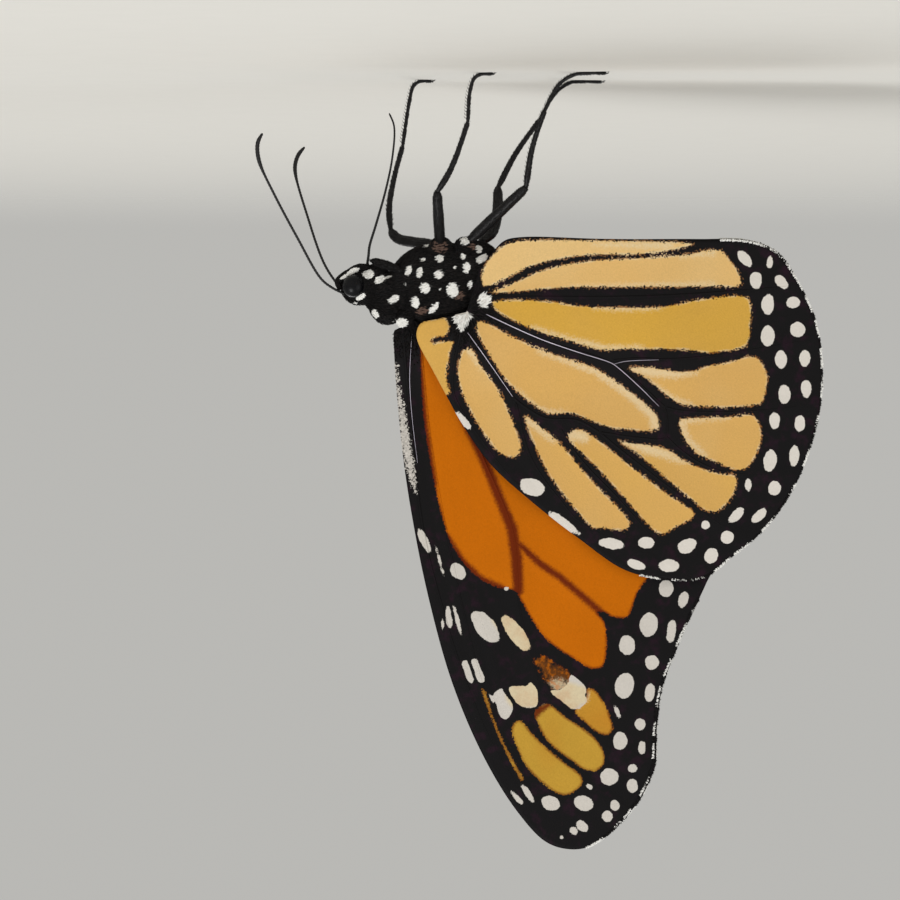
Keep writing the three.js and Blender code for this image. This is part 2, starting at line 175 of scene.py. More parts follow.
# White spots: (x, z, half-length, half-width, tilt).
HIND_SPOTS = (
    (-18.9, 16.8, 0.87, 0.46, -50), (-19.9, 18.8, 0.55, 0.78, 0), (-21, 21, 0.55, 0.92, 0),
    (-21, 23.9, 0.64, 0.92, 0), (-22.2, 26, 0.57, 0.83, 0), (-22.5, 29.2, 0.55, 0.87, 0),
    (-21.6, 31.6, 0.48, 0.78, 0), (-21.2, 35.3, 0.6, 1.01, -10), (-19.2, 37.5, 0.34, 0.55, 0),
    (-18.1, 40.3, 0.92, 0.41, 45), (-15.3, 41.2, 0.41, 0.41, 0), (-13.6, 43.1, 0.87, 0.64, 25),
    (-9.8, 42.8, 0.73, 0.55, 0), (-6.7, 42.9, 1.15, 0.5, -8), (-21.2, 17.1, 0.3, 0.6, 0),
    (-22.2, 18.9, 0.73, 0.41, -45), (-23.3, 20.8, 0.64, 0.5, 0), (-23.7, 23.3, 0.69, 0.69, 0),
    (-24.4, 25.9, 0.5, 0.73, 0), (-24.5, 28.7, 0.48, 0.85, 0), (-23.9, 31.9, 0.48, 0.78, 0),
    (-23.4, 34.8, 0.44, 0.92, -8), (-21.6, 37.8, 0.57, 0.64, 0), (-20.2, 40.3, 0.83, 0.41, 45),
    (-17.3, 42.3, 0.64, 0.6, 30), (-15.8, 44, 0.6, 0.69, -20), (-11.9, 44.9, 0.96, 0.55, 0),
    (-8.9, 44.8, 0.87, 0.41, -20), (6.85, 31.65, 1.15, 0.33, -52), (0.6, 37.7, 1.19, 0.78, -18),
    (-2.3, 41, 1.7, 0.41, -36), (5.1, 20.7, 0.55, 0.69, -20), (7, 22.1, 0.69, 0.6, 0),
    (7, 22.8, 0.28, 0.46, 0),
)
FORE_SPOTS = (
    (10.5, 42.6, 1.24, 0.37, -65), (9.1, 44.4, 1.1, 0.15, -75), (7.4, 45.4, 0.85, 0.6, -55),
    (2.9, 47, 0.23, 0.18, 0), (8.25, 49.65, 0.27, 0.96, 8), (7.45, 49.85, 1.36, 0.17, -76),
    (8.8, 50.3, 0.11, 0.41, 0), (4.9, 50.5, 1.74, 0.87, -52), (2.1, 51.1, 2.02, 0.69, -52),
    (4.3, 57.1, 0.5, 0.09, -65), (-11.7, 47, 0.69, 0.78, 0), (-13.3, 48, 0.46, 0.73, -15),
    (-10.1, 50.3, 0.83, 1.1, -8), (-12.2, 50.9, 0.41, 1.06, -8), (-8.1, 52.2, 0.73, 0.92, 0),
    (-10.4, 53.8, 0.64, 0.69, 0), (-7.9, 55.9, 0.87, 1.19, -10), (-10.2, 56.6, 0.46, 0.83, -10),
    (-7.2, 58.3, 0.6, 0.18, -70), (-9.3, 59.5, 0.46, 0.55, 0), (-7.5, 61, 0.64, 0.83, 0),
    (-9.5, 61.6, 0.37, 0.6, 0), (-8.6, 63.5, 0.41, 0.37, 0), (-8.6, 65.1, 0.5, 0.64, 0),
    (-6.5, 64.3, 0.83, 0.78, 0), (-4.7, 65.2, 0.32, 0.23, -40), (-4.1, 66.7, 0.87, 0.69, -20),
    (-1.1, 66.7, 0.87, 0.64, -20), (-7, 66.9, 0.41, 0.5, 0), (-6.3, 67.9, 0.5, 0.5, 0),
    (-4, 68.8, 0.64, 0.41, -40), (-3.2, 69.2, 0.46, 0.32, -40), (-2.1, 69.8, 0.18, 0.18, 0),
    (2, 66.2, 0.87, 0.23, -50), (1, 65.8, 0.96, 0.28, -55),
)
BODY_SPOTS = (
    (15.6, 18.2, 0.55, 0.46, 0), (14.5, 18.7, 0.55, 0.37, 25), (13.75, 18.45, 0.37, 0.11, 20),
    (16.3, 20.3, 0.5, 0.25, 30), (16.8, 20.8, 0.23, 0.09, 0), (15, 21.85, 0.45, 0.46, 0),
    (13.3, 20.5, 0.6, 0.34, 32), (12.55, 22.7, 0.58, 0.45, 0), (13.2, 22.6, 0.2, 0.16, -40),
    (12.1, 23.2, 0.2, 0.2, 0), (11.9, 17.9, 0.32, 0.5, -15), (10.9, 18.1, 0.3, 0.5, -15),
    (12.2, 19.2, 0.14, 0.18, 0), (10.6, 16.9, 0.23, 0.23, 0), (9.1, 16.8, 0.41, 0.41, 0),
    (10.3, 15.6, 0.26, 0.45, 0), (9.2, 18.3, 0.46, 0.39, 15), (10.4, 19.5, 0.5, 0.5, 0),
    (11.3, 20.8, 0.41, 0.57, 0), (9.6, 21.3, 0.69, 0.3, 48), (7.9, 19.7, 0.57, 0.69, 0),
    (6.6, 17.6, 0.34, 0.53, 0), (6.9, 16.6, 0.23, 0.32, 0), (6.8, 15.15, 0.5, 0.42, -30),
    (5.5, 15.9, 0.37, 0.5, -10), (5.2, 16.8, 0.64, 0.37, 38), (6.3, 19.2, 0.21, 0.46, -15),
    (9, 19.6, 0.14, 0.14, 0), (7.7, 17.6, 0.14, 0.23, 0),
)
# Veins, as lines of (x, z, thickness).
HIND_VEINS = (
    ((4.7, 19.5, 0.18), (1.7, 18, 0.23), (-0.6, 17.2, 0.23), (-3.8, 16.7, 0.23),
     (-11.2, 16.2, 0.18), (-14.8, 15.6, 0.14)),
    ((5.4, 20.3, 0.23), (-9.3, 20.3, 0.64), (-18.9, 19.7, 0.37), (-23.1, 19.3, 0.23)),
    ((5.7, 21.3, 0.41), (4.6, 22, 0.46), (-0.1, 24.2, 0.46), (-6.7, 26.4, 0.41),
     (-11.6, 30.4, 0.37)),
    ((-6.7, 26.1, 0.37), (-9.3, 25.9, 0.37), (-11.2, 26, 0.37), (-14.8, 25.8, 0.32),
     (-25.1, 24.2, 0.18)),
    ((-11.6, 30.4, 0.37), (-13, 30.7, 0.32), (-18.5, 30.8, 0.28), (-25.1, 30.2, 0.18)),
    ((-11.6, 30.4, 0.32), (-11.8, 32, 0.32), (-11.6, 33.2, 0.32), (-9.3, 33.2, 0.32),
     (-5.6, 32.7, 0.41)),
    ((-11.6, 33, 0.32), (-13, 34.3, 0.32), (-14.8, 35.5, 0.32), (-16.6, 36.2, 0.28),
     (-18.5, 36.5, 0.23), (-23.5, 36.7, 0.14)),
    ((-5.6, 32.7, 0.37), (-7, 33.9, 0.37), (-15.7, 40.5, 0.23), (-19.2, 42.8, 0.14)),
    ((-2, 32.3, 0.32), (-2.9, 33.9, 0.32), (-4.5, 35.9, 0.32), (-7.6, 39.1, 0.28),
     (-11.2, 43.5, 0.18), (-12.2, 45.7, 0.14)),
    ((7, 23.1, 0.41), (6.3, 23.8, 0.46), (2.4, 29.4, 0.41), (1.2, 30.4, 0.41),
     (-0.6, 31.4, 0.41), (-3.5, 31.6, 0.41), (-5.6, 32.7, 0.41)),
    ((2.1, 29.9, 0.37), (1, 34.3, 0.32), (-0.1, 36.4, 0.28), (-2, 38.9, 0.28),
     (-3.8, 40.9, 0.23), (-9.3, 43.7, 0.14), (-11.6, 45.1, 0.14)),
    ((7.1, 23.3, 0.41), (7.8, 27, 0.37), (7.8, 29, 0.37), (7.2, 30.4, 0.32), (3.5, 35.7, 0.23),
     (0.8, 38.6, 0.18)),
    ((7.3, 23.9, 0.23), (9.3, 24.1, 0.14), (9.9, 24.4, 0.09)),
)
FORE_VEINS = (
    ((12.5, 22.9, 0.41), (11.2, 37.1, 0.37), (10.4, 42.6, 0.37), (9, 48.1, 0.32),
     (7.2, 54, 0.28), (4.5, 60.7, 0.23), (1.7, 65.5, 0.18)),
    ((10.9, 23.3, 0.32), (9.9, 33.4, 0.32), (7.9, 44.4, 0.28), (5, 56.3, 0.23),
     (2.8, 62.3, 0.18), (1, 66.4, 0.14)),
    ((10.4, 23.1, 0.37), (5, 35.2, 0.32), (2.4, 41.6, 0.28), (2, 44.4, 0.28),
     (1.8, 48.1, 0.28), (0.8, 52.7, 0.23), (-0.6, 56.6, 0.2), (-2.4, 58.2, 0.18),
     (-4.6, 59.8, 0.18), (-6.4, 61.7, 0.18), (-9.3, 63.2, 0.14)),
    ((2.1, 42.8, 0.23), (-9.3, 51.7, 0.18), (-11.6, 53.1, 0.14)),
    ((6.6, 47.6, 0.2), (5.5, 49.4, 0.2), (4.4, 52.6, 0.18), (3.5, 55.4, 0.18), (2.4, 58.2, 0.18),
     (1.1, 60.2, 0.18), (-1.6, 62.9, 0.16), (-4.4, 65.2, 0.16), (-7.3, 67.5, 0.14)),
    ((9.9, 24.2, 0.32), (1.7, 36.1, 0.32), (-3.2, 41.9, 0.2)),
)
# White stretches of the fringe, from (x, z) to (x, z).
HIND_FRINGE = (
    (-16.6, 15.1, -19.4, 15.25), (-19.4, 15.25, -21.7, 16.3), (-21.8, 16.5, -22.9, 17.7),
    (-23.1, 18.1, -24.1, 19.5), (-24.3, 20.3, -25.1, 21.4), (-25.4, 22.6, -25.7, 23.8),
    (-25.9, 25.2, -25.9, 26.7), (-25.8, 27.7, -25.8, 29.4), (-25.5, 31.1, -25, 32.7),
    (-24.7, 33.8, -24.4, 35.7), (-23.4, 37.4, -22.3, 38.8), (-21.7, 39.8, -20.6, 41.7),
    (-19.4, 42.5, -18, 43.7), (-17.4, 44.1, -16.3, 45.4), (-15, 45.8, -12.4, 46.1),
    (-10.9, 46.1, -9.3, 45.6),
)
FORE_FRINGE = (
    (-14.2, 47.8, -13.9, 49), (-13.3, 50.3, -12.8, 52.2), (-12, 53.7, -11.5, 54.8),
    (-11.3, 56.2, -11, 57.8), (-10.5, 59.4, -10.5, 60.3), (-10.4, 61.4, -10.4, 62.5),
    (-9.9, 63.9, -9.8, 64.6), (-9.6, 65, -9.4, 65.9), (-8.4, 67.4, -8, 67.9),
    (-7.7, 68.5, -7.2, 69), (-5.7, 70.1, -5, 70.4), (-4.9, 70.5, -4.4, 70.8),
)

# Softer marks, as lines of (x, z, half-width).
RUST_VEINS_AND_SHADOW = (
    # This line's start runs along the hind wing's edge: a painted shadow of the hind wing on the fore
    # wing; further on it is a soft rust vein.
    ((6.9, 31.5, 0.25), (5.9, 33.4, 0.35), (5, 35.2, 0.4), (3.5, 38.9, 0.4), (2.4, 41.6, 0.45),
     (2, 44.4, 0.48), (1.85, 47.2, 0.4)),
    ((1.7, 43, 0.22), (-0.1, 44.7, 0.27), (-2, 46, 0.27), (-4.7, 48.3, 0.27), (-6.7, 50.1, 0.25)),
    ((11.1, 23.4, 0.1), (10.9, 27, 0.22), (10.4, 32, 0.22), (9.5, 37.5, 0.12)),
    ((8.3, 42.2, 0.1), (7, 44.4, 0.2), (5.4, 46, 0.2), (3.2, 47, 0.15)),
    ((0.4, 58.9, 0.15), (0, 58.2, 0.3), (-0.9, 57.7, 0.15)),
)
FROST_LINES = (
    ((13.1, 26.4, 0.1), (12.9, 28.8, 0.2), (12.5, 31.3, 0.32), (12.2, 33.8, 0.42),
     (11.7, 36.2, 0.3), (11.3, 38.1, 0.1)),
)
FORE_PALE_LINES = (
    ((-1.7, 56.3, 1), (-2.8, 56.9, 1.3), (-3.7, 56.8, 0.9)), ((0.4, 56.7, 1.2), (1.8, 56.8, 1.2)),
    ((3.2, 49.6, 1.1), (1.2, 52.2, 1.1)),
)
HIND_PALE_LINES = (
    ((0, 25.3, 0.15), (-5, 27, 0.3), (-8, 28.9, 0.45), (-10.5, 31.1, 0.5), (-10.7, 32.1, 0.5)),
    ((2.2, 28.6, 0.1), (0.4, 30.2, 0.15), (-0.8, 30.8, 0.2), (-2.6, 30.8, 0.1)),
    ((1, 31.6, 0.3), (-0.4, 32.7, 0.35), (-1.4, 33.6, 0.1)), ((-3, 32.9, 0.6), (-4.1, 33.1, 0.55)),
    ((-7.6, 33.5, 0.3), (-9.6, 34.1, 0.5), (-11.6, 34.7, 0.45), (-13.2, 35.4, 0.2)),
    ((-17.5, 31.4, 0.05), (-14, 31.6, 0.2), (-13.1, 31.8, 0.35), (-13.6, 33.3, 0.3),
     (-15.2, 34.8, 0.2)),
    ((-8.5, 26.9, 0.3), (-10, 27.1, 0.45), (-12.4, 27.4, 0.4), (-14.4, 27.3, 0.15)),
    ((-9.8, 27.9, 0.25), (-12.2, 29.6, 0.3), (-14, 30.1, 0.1)), ((6.3, 25.2, 0.3), (5.2, 26.8, 0.2)),
    ((0.6, 23.1, 0.15), (-2.9, 24.2, 0.25), (-6.2, 25, 0.3), (-9.5, 24.9, 0.15)),
    ((-5, 21.3, 0.1), (-8, 21.4, 0.2), (-11, 21.3, 0.15)), ((-13, 16.6, 0.1), (-16, 16.3, 0.2)),
    ((-3, 19.3, 0.05), (-10, 19.2, 0.15), (-16, 19.1, 0.15)), ((-5, 15.6, 0.1), (-12, 15.6, 0.35)),
)
# Thin pale rods along the stoutest veins, as lines of (x, z, radius): a painted highlight where the
# bare veins catch the light.
HIND_GLINTS = (
    ((4.8, 21.9, 0.02), (4.3, 22.15, 0.035), (0, 24.1, 0.045), (-3.4, 25.3, 0.035),
     (-6.4, 26.25, 0.03), (-6.9, 26.5, 0.03), (-9.2, 28.5, 0.03), (-11, 30.3, 0.01)),
    ((-6.9, 26.45, 0.01), (-7.9, 26.2, 0.02), (-11, 26.05, 0.01)),
    ((6.5, 23.6, 0.02), (5.4, 25.1, 0.035), (2.4, 29.4, 0.02)),
)
FORE_GLINTS = (
    ((11.6, 23.6, 0.01), (11.8, 26.9, 0.02), (11.8, 28.5, 0.022), (11.6, 31.3, 0.018),
     (11.1, 35.5, 0.01)),
)
BROWN_SPOTS = (
    (9.15, 15.7, 0.62, 0.5, 0), (10.7, 21.6, 0.55, 0.35, 35), (7.3, 20.2, 0.5, 0.4, 0),
    (6.15, 15.7, 0.3, 0.35, 0),
)

# ---- Body: middle, half-sizes, nose-up pitch and depth of coat ----

HEAD = ((16.4, 0, 19.35), (1.9, 1.5, 1.8), 0, 0.16)
NECK = ((14.9, 0, 19.4), (1.6, 1.4, 2.35), 0, 0.16)
COLLAR = ((13.85, 0, 20.4), (2.1, 2, 2.6), 0, 0.24)
CHEST = ((9.4, 0, 19.25), (4.9, 2.85, 4.2), 16, 0.28)
REAR = ((5.9, 0, 18.3), (3.1, 2.35, 3.4), 0, 0.24)
SHOULDERS = tuple(((12.3, y, 22.35), (1.05, 0.75, 0.95), 30, 0.2) for y in (-1.5, 1.5))
HIPS = tuple(
    ((x, y, 15.75), (1.25, 0.95, 1.1), 0, 0.2) for x in (9, 6.7) for y in (-1.15, 1.15)
)
PARTS = (HEAD, NECK, COLLAR, CHEST, REAR, *SHOULDERS, *HIPS)
EYE = ((16.97, 1.05, 19.3), (1, 0.9, 1.04))
PALP = (
    (15.5, 0.5, 17.5), (16.5, 0.55, 17.62), (17.2, 0.55, 17.98), (17.9, 0.5, 18.38),
    (18.38, 0.42, 18.85), (18.28, 0.38, 19.5),
)
PALP_RADII = (0.2, 0.33, 0.35, 0.31, 0.28, 0.17)
PALP_STREAK = ((16.93, 1, 17.95, 0.58, 0.33, 29), (17.4, 1, 18.19, 0.93, 0.15, 29))
FORELEG = ((12.4, 1.35, 18), (13.6, 1.3, 17.5), (15.3, 1.15, 16.95))
FORELEG_RADII = (0.2, 0.28, 0.32, 0.35, 0.37, 0.36, 0.3, 0.1)
ABDOMEN = ((4.6, 0, 18.1), (0, 0, 18.4), (-5, 0, 18), (-10.3, 0, 17.1))
ABDOMEN_RADIUS, ABDOMEN_RINGS, ABDOMEN_COAT = 1.95, 8, 0.2
WAIST, GROOVE = 0.8, 0.14  # the front end's share of the radius, and the depth between the rings
BODY_HEIGHT = 18.5  # of the line that the coat's unwrap turns round
SPOT_DEPTH = 1.2  # a body spot's half-size across the body, as a share of its half-length
EYE_CLEAR, EYE_NEAR = 1.02, 1.3  # in sizes of the eye: no tufts within one, short ones to the other
TONGUE = (
    (15.75, 0, 17.9), (15.7, 0, 17.2), (15.6, 0, 16.5), (15.5, 0, 15.6), (14.9, 0, 13.6),
    (14, 0, 10.4), (13.4, 0, 7.4), (13.25, 0, 4.6), (13.7, 0, 3.4),
)
TONGUE_RADII, TONGUE_TIP = (0.13, 0.085), (0.07, 0.03)
TONGUE_RINGS, TONGUE_APART = 0.008, 0.15  # height of the rings, and between the halves' middles
FEELERS = {
    RIGHT: (
        (17.8, 0.55, 20), (18.9, 0.8, 19.45), (19.95, 1.2, 18.6), (22.05, 2.2, 14.95),
        (24.15, 3.4, 11), (25.45, 4.2, 8.2), (25.68, 4.5, 7), (25.6, 4.75, 6.2), (25.2, 5, 5.45),
    ),
    LEFT: (
        (17.8, 0.55, 19.8), (18.6, 1, 18.9), (19.75, 2, 17.05), (21.35, 4.4, 12.5),
        (22.42, 6.3, 8.8), (22.45, 6.8, 7.8), (22.15, 7.3, 6.9), (21.6, 7.7, 6.2),
    ),
}
FEELER_RADIUS, CLUB_RADIUS, FEELER_TIP = 0.115, 0.19, (0.12, 0.09, 0.03)
FEELER_RINGS, FEELER_STEP, STEPS_TO_A_RING = 0.012, 0.06, 5
# Legs as lines of femur, tibia and tarsus; each starts where the one before ends, and y takes
# its side's sign.
LEGS = {
    ("mid", RIGHT): (
        ((9, 1.2, 15.6), (9.15, 3.2, 13.4), (9.3, 4.7, 10.8)),
        ((8.4, 5.1, 9.4), (7.6, 5.4, 7.7), (6.5, 5.8, 4.5)),
        ((6.3, 6.1, 1.7), (5.9, 6.3, 0.5), (5.2, 6.55, 0.13), (4.3, 6.87, 0.13)),
    ),
    ("mid", LEFT): (
        ((9.6, 1.2, 15.4), (11.5, 3.1, 15.15), (13, 4.4, 14.75), (13.6, 4.9, 14.05)),
        ((13.75, 5.3, 12), (13.3, 5.6, 9.2), (12.5, 5.8, 6.2)),
        ((11.9, 6.3, 2.2), (11.5, 6.5, 0.6), (10.8, 6.8, 0.13), (9.9, 7.17, 0.13)),
    ),
    ("hind", RIGHT): (
        ((6.6, 1, 15.4), (3.6, 3.1, 12.6), (1.2, 4.65, 10.4)),
        ((0.65, 5.6, 6.9), (-0.5, 6.6, 3.4)),
        ((-1.7, 7.1, 1.2), (-3, 7.5, 0.3), (-4.2, 7.8, 0.13), (-6, 8.25, 0.13)),
    ),
    ("hind", LEFT): (
        ((5.2, 1, 15.2), (4.2, 2.1, 14.2), (3.75, 3.3, 12.3), (3.7, 4.65, 10.1)),
        ((2.1, 5.6, 7), (-0.2, 6.5, 3.7)),
        ((-1.6, 7, 1.3), (-2.9, 7.5, 0.3), (-4.1, 7.8, 0.13), (-5.9, 8.25, 0.13)),
    ),
}

# ---- Settings a user would change ----


def tone(red, green, blue):
    """A colour given as display values from 0 to 255, as the linear light that shaders use."""
    shares = (value / 255 for value in (red, green, blue))
    return tuple(s / 12.92 if s <= 0.04045 else ((s + 0.055) / 1.055) ** 2.4 for s in shares)


def length(label, description, millimetres):
    return bpy.props.FloatProperty(
        name=label, description=description, default=millimetres * MM, min=0, precision=5,
        unit="LENGTH",
    )


def colour(label, description, *display):
    return bpy.props.FloatVectorProperty(
        name=label, description=description, default=tone(*display), size=3, min=0, max=1,
        subtype="COLOR",
    )


class WingSettings(bpy.types.PropertyGroup):
    sheet: length("Sheet", "Thickness of a wing's sheet", 0.1)
    pitch: length("Mesh pitch", "Distance between the points of a wing's mesh", 0.15)
    vein: length("Vein", "Radius of the thickest vein", 0.15)
    fringe: length("Fringe", "Length of the scales on the margin", 0.18)
    down: length("Down", "Length of the hairs at the wing root", 0.6)
    buff: colour("Buff", "Palest ground of the hind wing", 236, 202, 142)
    tan: colour("Tan", "Ground of most of the hind wing", 213, 168, 97)
    ochre: colour("Ochre", "Ground of the hind wing's longest cell", 207, 161, 66)
    cream: colour("Cream", "Scales along the edges of the cells", 227, 211, 176)
    orange: colour("Orange", "Ground of the fore wing", 196, 104, 2)
    straw: colour("Straw", "Cells near the tip of the fore wing", 189, 147, 54)
    brown: colour("Brown", "Mottled patch on the fore wing", 97, 55, 21)
    # Rust also darkens the cells' edges; along the hind wing's edge it is a painted shadow.
    rust: colour("Rust", "Soft veins, brown cell edges and painted shadow by the hind wing", 100, 30, 6)
    flame: colour("Flame", "Ground of the upper faces, which lie together", 214, 92, 14)
    black: colour("Black", "Borders and bands", 22, 21, 22)
    violet: colour("Violet", "Hints within the black", 40, 22, 34)
    white: colour("White", "Spots in the borders", 217, 211, 203)
    # Painted highlight: the pale colour of the thin rods on the stoutest veins.
    crest: colour("Crest", "Painted highlight along the stoutest veins", 205, 198, 214)


class BodySettings(bpy.types.PropertyGroup):
    skin_pitch: length("Skin pitch", "Distance between the points of the skin's mesh", 0.14)
    face_hair: length("Face hair", "Length of the tufts on the face", 0.26)
    chest_hair: length("Chest hair", "Length of the tufts on the chest", 0.44)
    rear_hair: length("Rear hair", "Length of the tufts on the abdomen", 0.36)
    leg_hair: length("Leg hair", "Length of the hairs on the legs", 0.2)
    black: colour("Black", "Coat and skin", 15, 15, 16)
    white: colour("White", "Tufts of the spots", 251, 250, 246)
    brown: colour("Brown", "Sparse tufts by the wing roots", 108, 86, 76)
    eye: colour("Eye", "Surface of the eye", 10, 10, 13)
    shell: colour("Shell", "Legs and feelers", 17, 16, 17)


class StageSettings(bpy.types.PropertyGroup):
    floor: colour("Floor", "Plain floor", 214, 212, 206)
    sky: colour("Background", "Plain background", 205, 204, 200)
    distance: length("Camera distance", "From the camera to the middle plane", 700)
    across: length("Field", "Width of what the camera sees at the middle plane", 82.57)


# ---- Shader building ----


class Value:
    """A number that varies over a surface: arithmetic on it adds Math nodes."""

    def __init__(self, finish, socket):
        self.finish = finish
        self.socket = socket

    def math(self, operation, first, second):
        return self.finish.node("ShaderNodeMath", {"operation": operation}, {0: first, 1: second})

    def __add__(self, other):
        return self.math("ADD", self, other)

    def __sub__(self, other):
        return self.math("SUBTRACT", self, other)

    def __rsub__(self, other):
        return self.math("SUBTRACT", other, self)

    def __mul__(self, other):
        return self.math("MULTIPLY", self, other)

    __radd__ = __add__
    __rmul__ = __mul__

    def most(self, other):
        return self.math("MAXIMUM", self, other)

    def rise(self, low, high):
        """0 at low, 1 at high and smooth between; high may be the smaller."""
        return self.finish.node(
            "ShaderNodeMapRange", {"interpolation_type": "SMOOTHSTEP"},
            {"Value": self, "From Min": low, "From Max": high},
        )


class Finish:
    """One procedural material."""

    def __init__(self, name):
        self.material = bpy.data.materials.new(name)
        self.material.use_nodes = True
        self.tree = self.material.node_tree
        self.tree.nodes.clear()
        self.place = self.node("ShaderNodeTexCoord", output="Object")

    def node(self, kind, settings=None, inputs=None, output=0):
        made = self.tree.nodes.new(kind)
        for key, value in (settings or {}).items():
            setattr(made, key, value)
        for key, value in (inputs or {}).items():
            if isinstance(value, Value):
                self.tree.links.new(value.socket, made.inputs[key])
            else:
                made.inputs[key].default_value = value
        return Value(self, made.outputs[output])

    def attribute(self, name):
        return self.node("ShaderNodeAttribute", {"attribute_name": name}, output="Fac")

    def noise(self, size, detail, rough=0.5, stretch=None):
        """Smooth noise whose lumps are about size millimetres across, from 0 to 1."""
        place = self.place
        if stretch:
            place = self.node("ShaderNodeMapping", inputs={"Vector": place, "Scale": stretch})
        return self.node(
            "ShaderNodeTexNoise",
            inputs={"Vector": place, "Scale": 1 / (size * MM), "Detail": detail, "Roughness": rough},
        )

    def cells(self, size, output="Distance"):
        """Rounded grains about size millimetres across: 0 at a grain's middle."""
        return self.node(
            "ShaderNodeTexVoronoi", inputs={"Vector": self.place, "Scale": 1 / (size * MM)},
            output=output,
        )

    def mix(self, share, first, second):
        """The first colour where share is 0, the second where it is 1."""
        first, second = (c if isinstance(c, Value) else (*c[:3], 1) for c in (first, second))
        return self.node(
            "ShaderNodeMix", {"data_type": "RGBA"}, {0: share, 6: first, 7: second}, output=2
        )

    def shade(self, colour, amount):
        """The colour times amount, which may pass 1."""
        colour = colour if isinstance(colour, Value) else tuple(colour)
        return self.node(
            "ShaderNodeVectorMath", {"operation": "SCALE"}, {0: colour, "Scale": amount}
        )

    def bump(self, height, depth, strength):
        """A normal from the height, where 0 to 1 is depth millimetres."""
        return self.node(
            "ShaderNodeBump",
            inputs={"Height": height, "Distance": depth * MM, "Strength": strength},
        )

    def surface(self, **inputs):
        """Ends the material with the inputs, named with _ for a space, on a Principled shader."""
        named = {key.replace("_", " "): value for key, value in inputs.items()}
        return self.end(self.node("ShaderNodeBsdfPrincipled", inputs=named))

    def end(self, shader):
        """Makes a shader the material's surface, and gives the material."""
        output = self.tree.nodes.new("ShaderNodeOutputMaterial")
        self.tree.links.new(shader.socket, output.inputs["Surface"])
        return self.material


# ---- Lines, outlines and depths, in millimetres ----


def curve(points, spans=8, closed=False):
    """A smooth line through the points: a centripetal Catmull-Rom spline."""
    knots = np.asarray(points, float)
    if closed:
        ring = np.vstack([knots[-1:], knots, knots[:2]])
    else:
        ring = np.vstack([2 * knots[0] - knots[1], knots, 2 * knots[-1] - knots[-2]])

    def between(first, second, start, end, at):
        return first + (second - first) * (at - start) / (end - start)

    line = []
    for quad in zip(ring, ring[1:], ring[2:], ring[3:]):
        gaps = [np.linalg.norm(b - a) ** 0.5 for a, b in zip(quad, quad[1:])]
        t0, t1, t2, t3 = 0, gaps[0], gaps[0] + gaps[1], sum(gaps)
        at = np.linspace(t1, t2, spans, endpoint=False)[:, None]
        a = between(quad[0], quad[1], t0, t1, at)
        b = between(quad[1], quad[2], t1, t2, at)
        c = between(quad[2], quad[3], t2, t3, at)
        line.append(between(between(a, b, t0, t2, at), between(b, c, t1, t3, at), t1, t2, at))
    return np.vstack(line if closed else line + [knots[-1:]])


def walk(line, step):
    """Points along a line, evenly apart at about step, and the direction at each."""
    run = np.concatenate([[0], np.cumsum(np.linalg.norm(np.diff(line, axis=0), axis=1))])
    at = np.linspace(0, run[-1], max(2, round(run[-1] / step)) + 1)
    points = np.stack([np.interp(at, run, axis) for axis in line.T], 1)
    return points, unit(np.gradient(points, axis=0))


def on_side(path, side):
    """A path's points with y on a side."""
    return np.multiply(path, (1, side, 1))


def radii_along(line, stops, radii):
    """A radius for each of a line's points, from the radii at stops that run from 0 to 1."""
    return np.interp(np.linspace(0, 1, len(line)), stops, radii)


def unit(vectors):
    return vectors / np.maximum(np.linalg.norm(vectors, axis=-1, keepdims=True), 1e-9)


def turned(x, z, degrees):
    """Places (x, z) measured along and across a direction that is tilted up by degrees."""
    along, rise = math.cos(math.radians(degrees)), math.sin(math.radians(degrees))
    return x * along + z * rise, z * along - x * rise


def ease(low, high, value):
    """0 at low, 1 at high and smooth between; high may be the smaller."""
    share = np.clip((value - low) / (high - low), 0, 1)
    return share * share * (3 - 2 * share)


def nearest(points, outline):
    """The nearest place on a closed outline to each point, and how far away it is."""
    edge = np.roll(outline, -1, axis=0) - outline
    found, gaps = [], []
    for some in np.array_split(points, len(points) // 4000 + 1):
        along = ((some[:, None] - outline) * edge).sum(2) / (edge**2).sum(1)
        spots = outline + np.clip(along, 0, 1)[..., None] * edge
        gap = np.linalg.norm(some[:, None] - spots, axis=2)
        rows, best = np.arange(len(some)), gap.argmin(1)
        found.append(spots[rows, best])
        gaps.append(gap[rows, best])
    return np.vstack(found), np.concatenate(gaps)


def depth_inside(points, outline):
    """How far inside a closed outline each point lies; outside is negative, at least -REACH."""
    depth = np.full(len(points), -REACH)
    near = ((points > outline.min(0) - REACH) & (points < outline.max(0) + REACH)).all(1)
    close = points[near]
    if not len(close):
        return depth
    x, z = close.T[:, :, None]
    start, end = outline, np.roll(outline, -1, axis=0)
    spans = (start[:, 1] > z) != (end[:, 1] > z)
    rise = np.where(start[:, 1] == end[:, 1], 1, end[:, 1] - start[:, 1])
    crossing = start[:, 0] + (z - start[:, 1]) * (end[:, 0] - start[:, 0]) / rise
    inside = ((x < crossing) & spans).sum(1) % 2 == 1
    gap = nearest(close, outline)[1]
    depth[near] = np.maximum(np.where(inside, gap, -gap), -REACH)
    return depth


def depth_in_shape(points, outline):
    """How far each point lies inside the smooth closed curve through an outline's points."""
    return depth_inside(points, curve(outline, closed=True))


